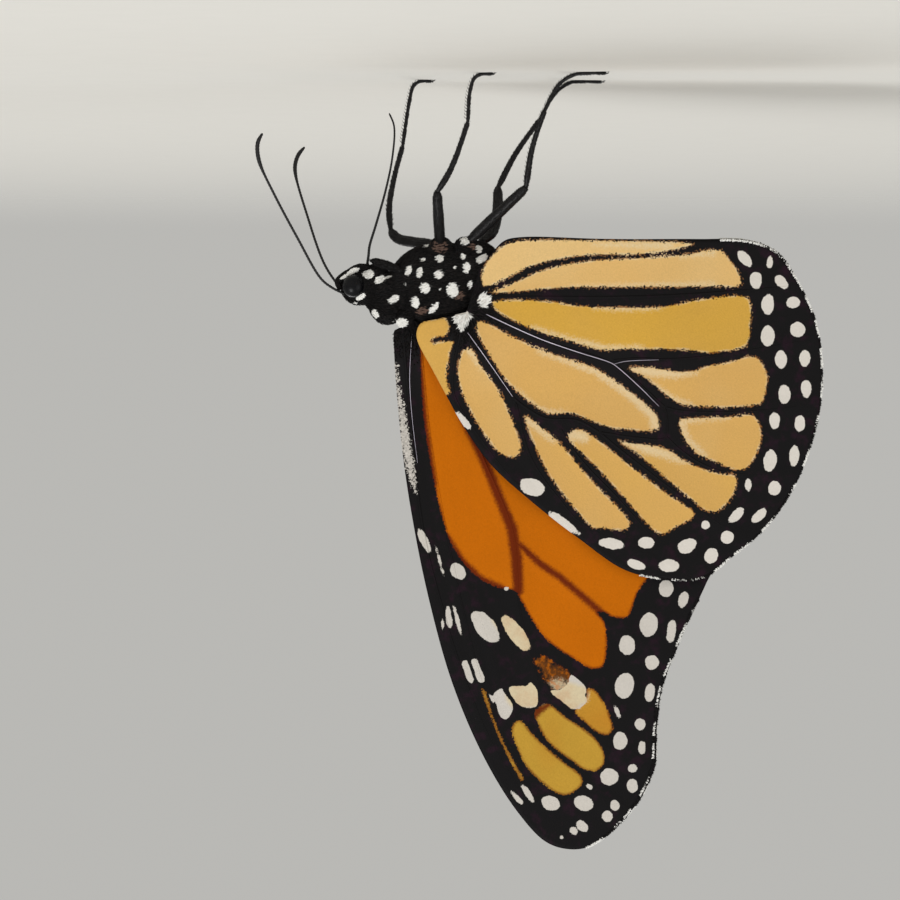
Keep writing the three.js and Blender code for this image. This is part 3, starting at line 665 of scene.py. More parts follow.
def depth_in_lines(points, lines):
    """How far each point lies inside lines of (x, z, half-width)."""
    depth = np.full(len(points), -REACH)
    for line in lines:
        for start, end in zip(np.array(line), np.array(line)[1:]):
            edge = end[:2] - start[:2]
            along = np.clip(((points - start[:2]) @ edge) / (edge @ edge), 0, 1)
            gap = np.linalg.norm(points - start[:2] - along[:, None] * edge, axis=1)
            depth = np.maximum(depth, start[2] + along * (end[2] - start[2]) - gap)
    return depth


def depth_in_spots(points, spots):
    """How far each point lies inside oval spots of (x, z, half-length, half-width, tilt)."""
    depth = np.full(len(points), -REACH)
    for x, z, long, short, tilt in spots:
        along, over = turned(*(points - (x, z)).T, tilt)
        share = np.hypot(along / long, over / short)
        depth = np.maximum(depth, (1 - share) * min(long, short))
    return depth


# ---- Pieces ----


def deselect():
    bpy.ops.object.select_all(action="DESELECT")


def work_on(piece):
    deselect()
    piece.select_set(True)
    bpy.context.view_layer.objects.active = piece


@contextmanager
def editing():
    """Edit mode, for the operators that work on a mesh's elements."""
    bpy.ops.object.mode_set(mode="EDIT")
    yield
    bpy.ops.object.mode_set(mode="OBJECT")


def new_object(name, data):
    """An object that shows the data, linked to the scene."""
    made = bpy.data.objects.new(name, data)
    bpy.context.scene.collection.objects.link(made)
    return made


def modify(piece, kind, **settings):
    """Adds a modifier to the piece and applies it."""
    work_on(piece)
    modifier = piece.modifiers.new(kind.title(), kind)
    for key, value in settings.items():
        setattr(modifier, key, value)
    bpy.ops.object.modifier_apply(modifier=modifier.name)


def read(items, name, width=1, kind=int):
    """One property of all of a mesh's items, in rows where it has more than one number."""
    numbers = np.empty(len(items) * width, kind)
    items.foreach_get(name, numbers)
    return numbers.reshape(-1, width) if width > 1 else numbers


def points_of(mesh):
    """The mesh's points in millimetres."""
    return read(mesh.vertices, "co", 3, float) / MM


def move_points(mesh, points):
    mesh.vertices.foreach_set("co", (points * MM).ravel())
    mesh.update()


def normals_of(mesh):
    return read(mesh.vertex_normals, "vector", 3, np.float32).astype(float)


def mark(mesh, **values):
    """Stores one number per point under each name, for the finishes to read."""
    for name, numbers in values.items():
        layer = mesh.attributes.new(name, "FLOAT", "POINT")
        layer.data.foreach_set("value", np.ascontiguousarray(numbers, np.float32))


def settle(piece, name, material, nodes=(), smooth=True):
    """Names the piece, gives it its finish, and fixes it to the frame for the CAD nodes it shows."""
    piece.name = piece.data.name = name
    piece.data.materials.clear()
    piece.data.materials.append(material)
    if smooth:
        piece.data.shade_smooth()
    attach(piece, "root")
    if nodes:
        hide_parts(*nodes)


def rods(lines, sides):
    """One mesh of round rods, each a line of points with a radius at every point."""
    shape = bpy.data.curves.new("rods", "CURVE")
    shape.dimensions = "3D"
    shape.bevel_depth = MM
    shape.bevel_resolution = (sides - 4) // 2
    shape.use_fill_caps = True
    for points, radii in lines:
        spline = shape.splines.new("POLY")
        spline.points.add(len(points) - 1)
        placed = np.column_stack([points * MM, np.ones(len(points))])
        spline.points.foreach_set("co", placed.ravel())
        spline.points.foreach_set("radius", np.asarray(radii, float))
    work_on(new_object("rods", shape))
    bpy.ops.object.convert(target="MESH")
    with editing():
        bpy.ops.mesh.select_all(action="SELECT")
        bpy.ops.mesh.remove_doubles(threshold=0.002 * MM)
        bpy.ops.mesh.normals_make_consistent(inside=False)
    return bpy.context.object


def ball(middle, half, pitch=0, segments=48):
    """An egg shape: a sphere primitive stretched to its half-sizes, nose up by pitch degrees."""
    deselect()
    bpy.ops.mesh.primitive_uv_sphere_add(
        segments=segments, ring_count=segments // 2, radius=1, location=Vector(middle) * MM,
        rotation=(0, -math.radians(pitch), 0), scale=Vector(half) * MM,
    )
    bpy.ops.object.transform_apply(location=True, rotation=True, scale=True)
    return bpy.context.object


def join(pieces):
    work_on(pieces[0])
    for piece in pieces[1:]:
        piece.select_set(True)
    bpy.ops.object.join()
    return bpy.context.object


def above_floor(points, height=0.0):
    """The points, with those below a height raised to it."""
    return np.column_stack([points[:, :2], np.maximum(points[:, 2], height)])


# A tuft is a bent, closed, three-sided spike: a ring of 3 points at its root, one at its
# middle, and a tip. The patch lays its faces out side by side for the bake.
TUFT_REACH = (0, 0, 0, 0.5, 0.5, 0.5, 1)  # each point's share of the way to the tip
TUFT_FACES = (
    (2, 1, 0), (0, 1, 4, 3), (1, 2, 5, 4), (2, 0, 3, 5), (3, 4, 6), (4, 5, 6), (5, 3, 6),
)
TUFT_PATCH = np.array(
    [(0, -0.3), (1, -0.3), (0.5, 0)]
    + [p for k in range(3) for p in ((k, 0), (k + 1, 0), (k + 1, 1.8), (k, 1.8))]
    + [p for k in range(3) for p in ((k, 1.8), (k + 1, 1.8), (k + 0.5, 3))]
) / 3
PATCH_SIZE = 0.003


def tuft_piece(roots, normals, lies, lengths, widths, lifts, places, rng, snow, umber=-1.0):
    """One mesh of tufts that lie along lies, each lifted from the skin by its angle in radians.

    places are the roots' places on the skin's unwrap, from 0 to 1; snow and umber are how deep
    each tuft lies in a white or brown spot.
    """
    count = len(roots)
    lengths, widths, lifts = (
        np.broadcast_to(np.asarray(v, float), count)[:, None] for v in (lengths, widths, lifts)
    )
    normals = np.broadcast_to(normals, roots.shape)
    lies = unit(lies - (lies * normals).sum(1, keepdims=True) * normals)
    across = np.cross(normals, lies)
    up = lengths * np.sin(lifts)
    middle = roots + lies * lengths * 0.5 + normals * up * 0.6
    tip = roots + lies * lengths + normals * up
    sunk = roots - normals * widths * 0.3
    rings = [
        base + offset * share
        for base, share in ((sunk, 0.85), (middle, 1.0))
        for offset in (across * widths / 2, normals * widths * 0.35, -across * widths / 2)
    ]
    points = above_floor(np.stack([*rings, tip], 1).reshape(-1, 3))
    faces = [
        tuple(len(TUFT_REACH) * tuft + corner for corner in face)
        for tuft in range(count) for face in TUFT_FACES
    ]
    mesh = bpy.data.meshes.new("tufts")
    mesh.from_pydata((points * MM).tolist(), [], faces)
    unwrap = mesh.uv_layers.new(name="OFBake")
    patch = (TUFT_PATCH - 0.5) * PATCH_SIZE
    patches = PATCH_SIZE + places[:, None] * (1 - 2 * PATCH_SIZE) + patch
    unwrap.data.foreach_set("uv", patches.ravel())
    marks = {"snow": snow, "umber": np.broadcast_to(umber, count), "tint": rng.random(count)}
    mark(mesh, **{name: np.repeat(numbers, len(TUFT_REACH)) for name, numbers in marks.items()})
    mark(mesh, reach=np.tile(TUFT_REACH, count))
    return new_object("tufts", mesh)


def scatter(piece, pitch, rng):
    """Roots spread over a piece about pitch apart, and the skin's normal at each."""
    mesh = piece.data
    mesh.calc_loop_triangles()
    corners = read(mesh.loop_triangles, "vertices", 3)
    a, b, c = points_of(mesh)[corners].transpose(1, 0, 2)
    areas = np.linalg.norm(np.cross(b - a, c - a), axis=1) / 2
    count = int(areas.sum() / pitch**2 * 2.2)
    chosen = rng.choice(len(areas), count, p=areas / areas.sum())
    u, v = rng.random((2, count, 1))
    u, v = np.where(u + v > 1, 1 - u, u), np.where(u + v > 1, 1 - v, v)
    roots = a[chosen] + (b - a)[chosen] * u + (c - a)[chosen] * v
    n0, n1, n2 = normals_of(mesh)[corners[chosen]].transpose(1, 0, 2)
    _, first = np.unique(np.floor(roots / pitch).astype(int), axis=0, return_index=True)
    return roots[first], unit(n0 * (1 - u - v) + n1 * u + n2 * v)[first]


# ---- Finishes ----


def wing_finish(name, colours, ramp, fraying, rim_share, singed, chalky):
    """Scaled wing: coloured cells with frayed edges, black borders and white spots.

    ramp lists (share, colour) for the ground colours that the tone attribute picks from.
    fraying is how far scales stray over a cell's edge, rim_share how much cream lies along it,
    singed how far in it is brown, and chalky how light the spots are.
    """
    f = Finish(name)
    grain = f.cells(0.13)
    stray = f.cells(0.12, "Color") - 0.5
    fine = f.noise(0.16, detail=1)
    patchy = f.noise(1.3, detail=3, rough=0.6)
    slow = f.noise(6.0, detail=1)
    fray = stray * fraying + (f.noise(0.22, detail=2) - 0.5) * fraying * 1.2
    cell, spot, tint = f.attribute("cell"), f.attribute("spot"), f.attribute("tone")

    ground = f.node("ShaderNodeValToRGB", inputs={"Fac": tint + (slow - 0.5) * 0.3})
    stops = ground.socket.node.color_ramp.elements
    for index, (share, stop) in enumerate(ramp):
        if index >= len(stops):
            stops.new(share)
        stops[index].position = share
        stops[index].color = (*stop, 1)
    upper = f.mix(0.8, ground, colours.flame)
    ground = f.mix(f.attribute("upper"), ground, upper)
    pale = (f.attribute("pale") + stray * 0.5).rise(-0.3, 0.4) * 0.6
    rim = (cell + stray * 0.1).rise(0.24, 0.08) * patchy.rise(0.4, 0.6) * rim_share
    ground = f.mix(pale.most(rim), ground, colours.cream)
    singe = (cell + stray * 0.1).rise(singed, 0.0) * (1 - patchy.rise(0.5, 0.65) * 0.6)
    ground = f.mix(singe * 0.75, ground, colours.rust)
    mottle = f.noise(0.5, detail=3, rough=0.7)
    patch = tint.rise(0.1, 0.04)
    ground = f.mix(patch * mottle.rise(0.5, 0.64) * 0.5, ground, colours.orange)
    ground = f.mix(patch * (mottle + cell * 0.28).rise(0.65, 0.44), ground, colours.black)
    # Rust along the red lines: soft veins, and by the hind wing's edge a painted shadow of the hind
    # wing.
    ground = f.mix((f.attribute("red") + fray).rise(-0.32, 0.2) * 0.95, ground, colours.rust)
    ground = f.shade(ground, 0.86 + fine * 0.16 - grain * 0.08 + slow * 0.14)

    dark = f.mix(patchy.rise(0.5, 0.72) * 0.7, colours.black, colours.violet)
    frost = (f.attribute("frost") + stray * 0.5 + (fine - 0.5) * 0.6).rise(-0.06, 0.06)
    dark = f.mix(frost * (0.3 + fine * 0.8), dark, colours.white)
    skin = f.mix((cell + fray).rise(-0.03, 0.03), dark, ground)
    blush = f.mix(patchy.rise(0.35, 0.75) * 0.28, colours.cream, colours.orange)
    chalk = f.mix(f.attribute("pale").rise(-0.3, 0.3), colours.white, blush)
    chalk = f.shade(chalk, fine * 0.14 + (chalky - 0.07))
    uneven = (f.noise(0.8, detail=1) - 0.5) * 0.24 + stray * 0.06
    skin = f.mix((spot + uneven).rise(-0.025, 0.025), skin, chalk)

    relief = f.bump(1 - grain, 0.012, 0.6)
    return f.surface(
        Base_Color=skin, Roughness=0.68 - fine * 0.16, Normal=relief, Specular_IOR_Level=0.06,
    )


def coat_finish(name, colours):
    """Short fur: black tufts, white ones in the spots and sparse brown ones by the wing roots."""
    f = Finish(name)
    tint = f.attribute("tint")
    dark = f.mix(tint * 0.03, colours.black, colours.brown)
    dark = f.shade(dark, 0.5 + tint * 0.8)
    coat = f.mix(f.attribute("umber").rise(-0.05, 0.25) * 0.9, dark, colours.brown)
    snow = f.shade(colours.white, 0.88 + tint * 0.12)
    coat = f.mix(f.attribute("snow").rise(-0.04, 0.04), coat, snow)
    # Darker at each tuft's root, lighter at its tip: painted shade where the tufts crowd together over
    # the skin.
    coat = f.shade(coat, 0.82 + f.attribute("reach") * 0.25)
    return f.surface(Base_Color=coat, Roughness=0.6, Specular_IOR_Level=0.12)


def skin_finish(name, colours):
    """The body under its coat: dark, with the same spots and a nap of fine hair."""
    f = Finish(name)
    nap = f.noise(0.09, detail=2, stretch=(0.35, 1, 1))
    ragged = (f.noise(0.22, detail=1) - 0.5) * 0.5
    dark = f.mix(nap * 0.02, colours.black, colours.brown)
    coat = f.mix((f.attribute("snow") + ragged).rise(-0.08, 0.08), dark, colours.white)
    return f.surface(
        Base_Color=f.shade(coat, 0.7 + nap * 0.4), Roughness=0.7, Normal=f.bump(nap, 0.05, 0.8),
        Specular_IOR_Level=0.1,
    )


def shell_finish(name, base):
    """Hard shell under fine scales: dark for legs, feelers and the tongue, pale for the painted
    highlight along the veins.
    """
    f = Finish(name)
    grain = f.cells(0.06)
    wear = f.noise(0.7, detail=2)
    skin = f.shade(base, 0.75 + wear * 0.7)
    return f.surface(
        Base_Color=skin, Roughness=0.4 + wear * 0.2, Normal=f.bump(1 - grain, 0.01, 0.5),
        Specular_IOR_Level=0.3,
    )


def eye_finish(colours):
    """A glossy compound eye of tiny facets, darker in patches."""
    f = Finish("eye")
    facets = f.cells(0.035)
    cloud = f.noise(0.8, detail=2)
    skin = f.shade(colours.eye, 0.6 + cloud * 0.9)
    return f.surface(
        Base_Color=skin, Roughness=0.32 + cloud * 0.1, Normal=f.bump(1 - facets, 0.006, 0.35),
        Specular_IOR_Level=0.12, Coat_Weight=0.08, Coat_Roughness=0.12,
    )


# ---- Wings ----

RIB_STEP = 0.2  # between the points along a vein or a painted glint line
VEIN_SHARE = 0.36  # a vein's radius, as a share of its thickness
VEIN_LEAST, VEIN_END = 0.06, 0.03  # a vein's least radius, and the one at its ends
SAG = 0.07  # how far the sheet lies back between the veins
FRINGE_STEP = 0.07  # between scales along the margin
FRINGE_INSETS = (0.06, 0.12)  # how far in from the margin its rows of scales start
FRINGE_LAYERS = (-0.045, 0.0, 0.045)  # where in the sheet's thickness a scale starts
FRINGE_WHITE = 0.4  # width of the white stretches
HAIR_WIDTH = 0.1
DOWN_HAIRS, DOWN_REACH = 5200, 4.2  # hairs tried, and how far from the wing's root
DOWN_THINS, DOWN_SHORTENS = 4.4, 6  # how far out hairs would have thinned or shortened away
PLACE_MARGIN = 0.6  # kept free round a wing on its unwrap

Wing = namedtuple(
    "Wing", "root margin layer cells patches spots veins fringe soft frosted pale crests"
)
WINGS = {
    "fore": Wing(
        FORE_ROOT, FORE_MARGIN, 0.4, FORE_CELLS, FORE_PATCHES, FORE_SPOTS, FORE_VEINS,
        FORE_FRINGE, RUST_VEINS_AND_SHADOW, FROST_LINES, FORE_PALE_LINES, FORE_GLINTS,
    ),
    "hind": Wing(
        HIND_ROOT, HIND_MARGIN, 1.15, HIND_CELLS, (), HIND_SPOTS, HIND_VEINS, HIND_FRINGE, (), (),
        HIND_PALE_LINES, HIND_GLINTS,
    ),
}


def all_wings():
    """Every wing, with its kind's name, its side and the word for its side."""
    for kind, wing in WINGS.items():
        for side, word in SIDES.items():
            yield kind, wing, side, word


def swung(x, z, degrees):
    """Places (x, z) turned forwards by degrees about the root of the fore wing."""
    x, z = turned(x - FORE_ROOT[0], z - FORE_ROOT[1], degrees)
    return FORE_ROOT[0] + x, FORE_ROOT[1] + z


def on_wing(wing, side, flat, lift=0.0):
    """Where points (x, z) of a flat wing lie beside the body: lift is towards the outside."""
    x, z = flat.T
    beside_body = (1 - ease(20, 30.5, z)) * ease(-17, -7.5, x)
    out = wing.layer + lift + WING_SWELL * beside_body
    if side == LEFT:
        x, z = swung(x, z, -LEFT_SWING)
    return np.column_stack([x, side * out, z])


def way_on_wing(wing, side, flat, way):
    """The direction beside the body of a short way (x, z) at points of a flat wing."""
    return on_wing(wing, side, flat + way * 0.1) - on_wing(wing, side, flat)


def on_paper(side, points):
    """The flat place (x, z) of points on a wing: the way back from on_wing."""
    x, z = points[:, 0], points[:, 2]
    if side == LEFT:
        x, z = swung(x, z, LEFT_SWING)
    return np.column_stack([x, z])


def pattern(wing, flat):
    """The depths inside each kind of mark that a wing's finish reads, at points (x, z)."""
    cell, tones = np.full(len(flat), -REACH), np.zeros(len(flat))
    for ground, outline in wing.cells:
        depth = depth_in_shape(flat, outline)
        tones[depth > cell] = ground
        cell = np.maximum(cell, depth)
    spot = depth_in_spots(flat, wing.spots)
    for outline in wing.patches:
        spot = np.maximum(spot, depth_in_shape(flat, outline))
    lines = {"red": wing.soft, "frost": wing.frosted, "pale": wing.pale}
    depths = {name: depth_in_lines(flat, marks) for name, marks in lines.items()}
    return {"cell": cell, "tone": tones, "spot": spot, **depths}


def wing_outline(wing):
    return np.vstack([[wing.root], curve(wing.margin)])


def wing_place(wing, flat, layer):
    """Places on the unwrap: the two faces lie side by side across the wing's shorter way."""
    edge = wing_outline(wing)
    low, span = edge.min(0) - PLACE_MARGIN, np.ptp(edge, axis=0) + 2 * PLACE_MARGIN
    place = (flat - low) / span
    short = int(span.argmin())
    place[:, short] = (place[:, short] + layer) / 2
    return place


def cut_sheet(wing, pitch):
    """A flat grid cut to the wing's outline, with its (x, z) points and, on the rim, the way out."""
    edge = wing_outline(wing)
    middle, span = (edge.max(0) + edge.min(0)) / 2, np.ptp(edge, axis=0)
    deselect()
    bpy.ops.mesh.primitive_grid_add(
        x_subdivisions=math.ceil(span[0] / pitch), y_subdivisions=math.ceil(span[1] / pitch),
        size=1, location=(middle[0] * MM, 0, middle[1] * MM), rotation=(math.pi / 2, 0, 0),
    )
    bpy.context.object.scale = (span[0] * MM, span[1] * MM, 1)
    bpy.ops.object.transform_apply(location=True, rotation=True, scale=True)
    sheet = bpy.context.object
    mesh = sheet.data
    outside = depth_inside(points_of(mesh)[:, [0, 2]], edge) < 0.4 * pitch
    with editing():
        bpy.ops.mesh.select_mode(type="VERT")
        bpy.ops.mesh.select_all(action="DESELECT")
    mesh.vertices.foreach_set("select", outside)
    with editing():
        bpy.ops.mesh.delete(type="VERT")
        bpy.ops.mesh.select_all(action="SELECT")
        bpy.ops.mesh.delete_loose()

    faces_at_edge = np.bincount(read(mesh.loops, "edge_index"), minlength=len(mesh.edges))
    rim = np.unique(read(mesh.edges, "vertices", 2)[faces_at_edge == 1])
    flat = points_of(mesh)[:, [0, 2]]
    way_out = np.zeros_like(flat)
    snapped = nearest(flat[rim], edge)[0]
    way_out[rim] = unit(snapped - flat[rim])
    flat[rim] = snapped
    return sheet, flat, way_out


def wing_sheet(wing, side, settings, material, name, node):
    """One wing: a thin closed sheet that carries its pattern as depths inside each mark."""
    sheet, flat, way_out = cut_sheet(wing, settings.pitch / MM)
    mesh = sheet.data
    mark(mesh, **pattern(wing, flat))
    middles = [[(x, z, 0) for x, z, _ in line] for line in wing.veins]
    vein_gap = -depth_in_lines(flat, middles)
    move_points(mesh, on_wing(wing, side, flat, -SAG * ease(0, 1.5, vein_gap)))
    if side == LEFT:
        mesh.flip_normals()
    modify(sheet, "SOLIDIFY", thickness=settings.sheet, offset=0)

    count = len(flat)
    heights = np.abs(points_of(mesh)[:, 1])
    inner = heights[:count] < heights[count:]
    mark(mesh, upper=np.concatenate([inner, ~inner]))
    corners, sizes = read(mesh.loops, "vertex_index"), read(mesh.polygons, "loop_total")
    starts = np.concatenate([[0], np.cumsum(sizes)[:-1]])
    copied = corners >= count
    on_rim = np.logical_or.reduceat(copied, starts) & ~np.logical_and.reduceat(copied, starts)
    on_rim = np.repeat(on_rim, sizes)
    spread = flat[corners % count] + way_out[corners % count] * (on_rim & copied)[:, None] * 0.2
    places = wing_place(wing, spread, (copied & ~on_rim).astype(float))
    for layer in list(mesh.uv_layers):
        mesh.uv_layers.remove(layer)
    mesh.uv_layers.new(name="OFBake").data.foreach_set("uv", places.ravel())
    settle(sheet, name, material, [node])


def rib(line):
    """The places (x, z) along a vein or a painted glint line, and its thickness or radius at each."""
    points, _ = walk(curve(line, spans=6), RIB_STEP)
    return points[:, :2], points[:, 2]


def wing_veins(wing, side, settings, material, name):
    """Raised veins: rods along the middle of the sheet, coloured as the wing is where they run."""
    lines = []
    for flat, thickness in map(rib, wing.veins):
        radii = np.clip(thickness * VEIN_SHARE, VEIN_LEAST, settings.vein / MM)
        radii[0] = radii[-1] = VEIN_END
        lines.append((on_wing(wing, side, flat), radii))
    veins = rods(lines, sides=6)
    points = points_of(veins.data)
    flat = on_paper(side, points)
    upper = np.abs(points[:, 1]) < np.abs(on_wing(wing, side, flat)[:, 1]) - 0.02
    mark(veins.data, upper=upper, **pattern(wing, flat))
    settle(veins, name, material)


def wing_glints(wing, side, settings, material, name):
    """Thin pale rods just above the stoutest veins of the outer face: a painted highlight on their
    bare crests.
    """
    lift = settings.vein / MM * 0.95
    lines = [(on_wing(wing, side, flat, lift), radii) for flat, radii in map(rib, wing.crests)]
    settle(rods(lines, sides=6), name, material)


def wing_fringe(wing, side, settings, material, name, rng):
    """The fringe of scales along the outer margin, white between the veins and black at them."""
    points, along = walk(curve(wing.margin), FRINGE_STEP)
    area = np.cross(points, np.roll(points, -1, axis=0)).sum()
    outward = along[:, ::-1] * ((1, -1) if area > 0 else (-1, 1))
    ends = [
        np.linalg.norm(points - end, axis=1).argmin()
        for end in (wing.fringe[0][:2], wing.fringe[-1][2:])
    ]
    outer = slice(min(ends), max(ends) + 1)
    points, along, outward = points[outer], along[outer], outward[outer]
    half = FRINGE_WHITE / 2
    stretches = [((a, b, half), (c, d, half)) for a, b, c, d in wing.fringe]
    roots, lies, snow, lengths = [], [], [], []
    for inset in FRINGE_INSETS:
        jitter = rng.normal(0, 0.02, points.shape)
        roots.append(points - outward * inset + jitter)
        lies.append(outward + along * rng.normal(0, 0.2, (len(points), 1)))
        snow.append(depth_in_lines(points, stretches) + rng.normal(0, 0.05, len(points)))
        lengths.append(settings.fringe / MM * rng.uniform(0.7, 1.1, len(points)))
    roots, lies = np.vstack(roots), np.vstack(lies)
    layers = rng.choice(FRINGE_LAYERS, len(roots))
    placed = on_wing(wing, side, roots)
    placed[:, 1] += layers
    piece = tuft_piece(
        placed, (0.0, side, 0.0), way_on_wing(wing, side, roots, lies), np.concatenate(lengths),
        HAIR_WIDTH, rng.uniform(-0.06, 0.06, len(roots)),
        wing_place(wing, roots, (layers * side < 0).astype(float)), rng, np.concatenate(snow),
    )
    settle(piece, name, material, smooth=False)


def wing_down(wing, side, settings, material, name, rng):
    """Hairs at the root of a wing, on its outer face, with white ones in its spots."""
    reach = DOWN_REACH * np.sqrt(rng.random(DOWN_HAIRS))
    turn = rng.uniform(0, 2 * math.pi, DOWN_HAIRS)
    flat = np.asarray(wing.root) + reach[:, None] * np.column_stack([np.cos(turn), np.sin(turn)])
    snow = depth_in_spots(flat, wing.spots)
    cells = np.max([depth_in_shape(flat, outline) for _, outline in wing.cells], axis=0)
    inside = depth_inside(flat, wing_outline(wing)) > 0.1
    drawn = rng.random(DOWN_HAIRS) > reach / DOWN_THINS
    kept = inside & (cells < -0.12) & (drawn | (snow > 0))
    flat, snow, reach = flat[kept], snow[kept], reach[kept]
    roots = on_wing(wing, side, flat, settings.sheet / MM / 2)
    ways = way_on_wing(wing, side, flat, unit(flat - wing.root))
    ways += rng.normal(0, 0.02, ways.shape)
    shorter = 1 - reach / DOWN_SHORTENS
    lengths = settings.down / MM * shorter * rng.uniform(0.6, 1.1, len(flat))
    piece = tuft_piece(
        roots, (0.0, side, 0.0), ways, lengths, HAIR_WIDTH, rng.uniform(0.1, 0.35, len(flat)),
        wing_place(wing, flat, np.zeros(len(flat))), rng, snow,
    )
    settle(piece, name, material, smooth=False)


# ---- Body ----


def body_skin(settings):
    """One closed skin round head, collar, chest and abdomen, inside the solids by the coat's depth."""
    parts = [ball(middle, np.subtract(half, coat), pitch) for middle, half, pitch, coat in PARTS]
    spine, _ = walk(curve(ABDOMEN), 0.1)
    share = np.linspace(0, 1, len(spine))
    late = np.maximum(2 * share - 1, 0)
    waist = WAIST + (1 - WAIST) * ease(0, 0.2, share)
    groove = GROOVE * np.abs(np.cos(math.pi * ABDOMEN_RINGS * share)) ** 8
    radius = ABDOMEN_RADIUS * waist * np.sqrt(1 - late**3) - groove - ABDOMEN_COAT
    parts.append(rods([(spine, np.maximum(radius, 0.12))], sides=32))
    skin = join(parts)
    modify(skin, "REMESH", mode="VOXEL", voxel_size=settings.skin_pitch)
    modify(skin, "SMOOTH", factor=0.5, iterations=8)
    return skin


def seated(spots, skin):
    """The spots with the depth (y) of the skin's right side put in: (x, y, z, long, short, tilt)."""
    found = []
    for x, z, long, short, tilt in spots:
        hit, place, *_ = skin.ray_cast(Vector((x, -20, z)) * MM, Vector((0, 1, 0)))
        if not hit:
            place = skin.closest_point_on_mesh(Vector((x, -0.8, z)) * MM)[1]
        found.append((x, abs(place.y) / MM, z, long, short, tilt))
    return found


def depth_on_body(points, spots):
    """How deep each point lies in spots on the body, alike on both sides: 1 at a spot's middle."""
    best = np.full(len(points), -1.0)
    for x, y, z, long, short, tilt in spots:
        along, over = turned(points[:, 0] - x, points[:, 2] - z, tilt)
        sideways = (np.abs(points[:, 1]) - y) / (SPOT_DEPTH * long)
        share = np.sqrt((along / long) ** 2 + (over / short) ** 2 + sideways**2)
        best = np.maximum(best, 1 - share)
    return best


def belly_spots():
    """Rows of pale dots low on the abdomen, two to a ring on each side."""
    spots = []
    for ring in range(1, ABDOMEN_RINGS):
        x = 4.4 - 15 * ring / ABDOMEN_RINGS
        size = 0.4 - 0.025 * ring
        spots.append((x + 0.3, 1.5, 16.9, size, size * 0.8, 0))
        spots.append((x + 0.3, 0.5, 16.2, size * 0.7, size * 0.6, 0))
    return spots


def turn_share(y, z):
    """How far round from straight down a direction lies, from 0 to 1."""
    return np.arctan2(y, z) / (2 * math.pi) + 0.5


def body_coat(skin, name, region, pitch, hair, width, lift, spots, umber, material, rng):
    """Tufts over one stretch of the skin (from x, to x), lying backwards along the body."""
    roots, normals = scatter(skin, pitch, rng)
    mirrored = np.column_stack([roots[:, 0], np.abs(roots[:, 1]), roots[:, 2]])
    clear = np.linalg.norm((mirrored - EYE[0]) / EYE[1], axis=1)
    kept = (roots[:, 0] > region[0]) & (roots[:, 0] <= region[1]) & (clear > EYE_CLEAR)
    roots, normals, clear = roots[kept], normals[kept], clear[kept]
    lies = np.tile((-1.0, 0.0, -0.18), (len(roots), 1)) + rng.normal(0, 0.16, (len(roots), 3))
    lengths = hair * rng.uniform(0.7, 1.15, len(roots)) * np.where(clear < EYE_NEAR, 0.6, 1)
    centres = roots + unit(lies) * lengths[:, None] * 0.4
    snow = depth_on_body(centres, spots) + rng.normal(0, 0.04, len(roots))
    lengths = lengths * np.where(snow > 0, 0.62, 1)
    turn = turn_share(roots[:, 1], roots[:, 2] - BODY_HEIGHT)
    along = (roots[:, 0] - region[0]) / (region[1] - region[0])
    piece = tuft_piece(
        roots, normals, lies, lengths, width * rng.uniform(0.8, 1.2, len(roots)),
        lift * rng.uniform(0.4, 1.5, len(roots)), np.column_stack([along, turn]), rng, snow,
        depth_on_body(centres, umber) + rng.normal(0, 0.25, len(roots)),
    )
    settle(piece, name, material, smooth=False)


def limb_coat(limb, path, spots, name, material, rng, pitch, hair, width, lift):
    """Short tufts over a limb, lying along its path."""
    roots, normals = scatter(limb, pitch, rng)
    line, ways = walk(path, 0.1)
    near = np.linalg.norm(roots[:, None] - line, axis=2).argmin(1)
    lies = ways[near] + rng.normal(0, 0.12, roots.shape)
    turn = turn_share(normals[:, 1], normals[:, 2])
    piece = tuft_piece(
        roots, normals, lies, hair * rng.uniform(0.7, 1.2, len(roots)), width,
        lift * rng.uniform(0.5, 1.5, len(roots)), np.column_stack([near / len(line), turn]), rng,
        depth_on_body(roots, spots),
    )
    settle(piece, name, material, smooth=False)


def coated(part, path, radii, side, spots, material, coat, rng, pitch, hair):
    """A small limb of the head or collar, with radii evenly apart along its path, and its coat."""
    word = SIDES[side]
    line, _ = walk(curve(on_side(path, side)), 0.12)
    limb = rods([(line, radii_along(line, np.linspace(0, 1, len(radii)), radii))], sides=12)
    mark(limb.data, snow=depth_on_body(points_of(limb.data), spots))
    settle(limb, f"{part}_skin_{word}", material, [f"{part}_{word}"])
    limb_coat(
        limb, line, spots, f"{part}_coat_{word}", coat, rng, pitch, hair, width=0.075, lift=0.22,
    )


# ---- Operators: one for each kind of piece ----

SEEDS = {"wings": 11, "body": 5, "face": 7, "legs": 9}


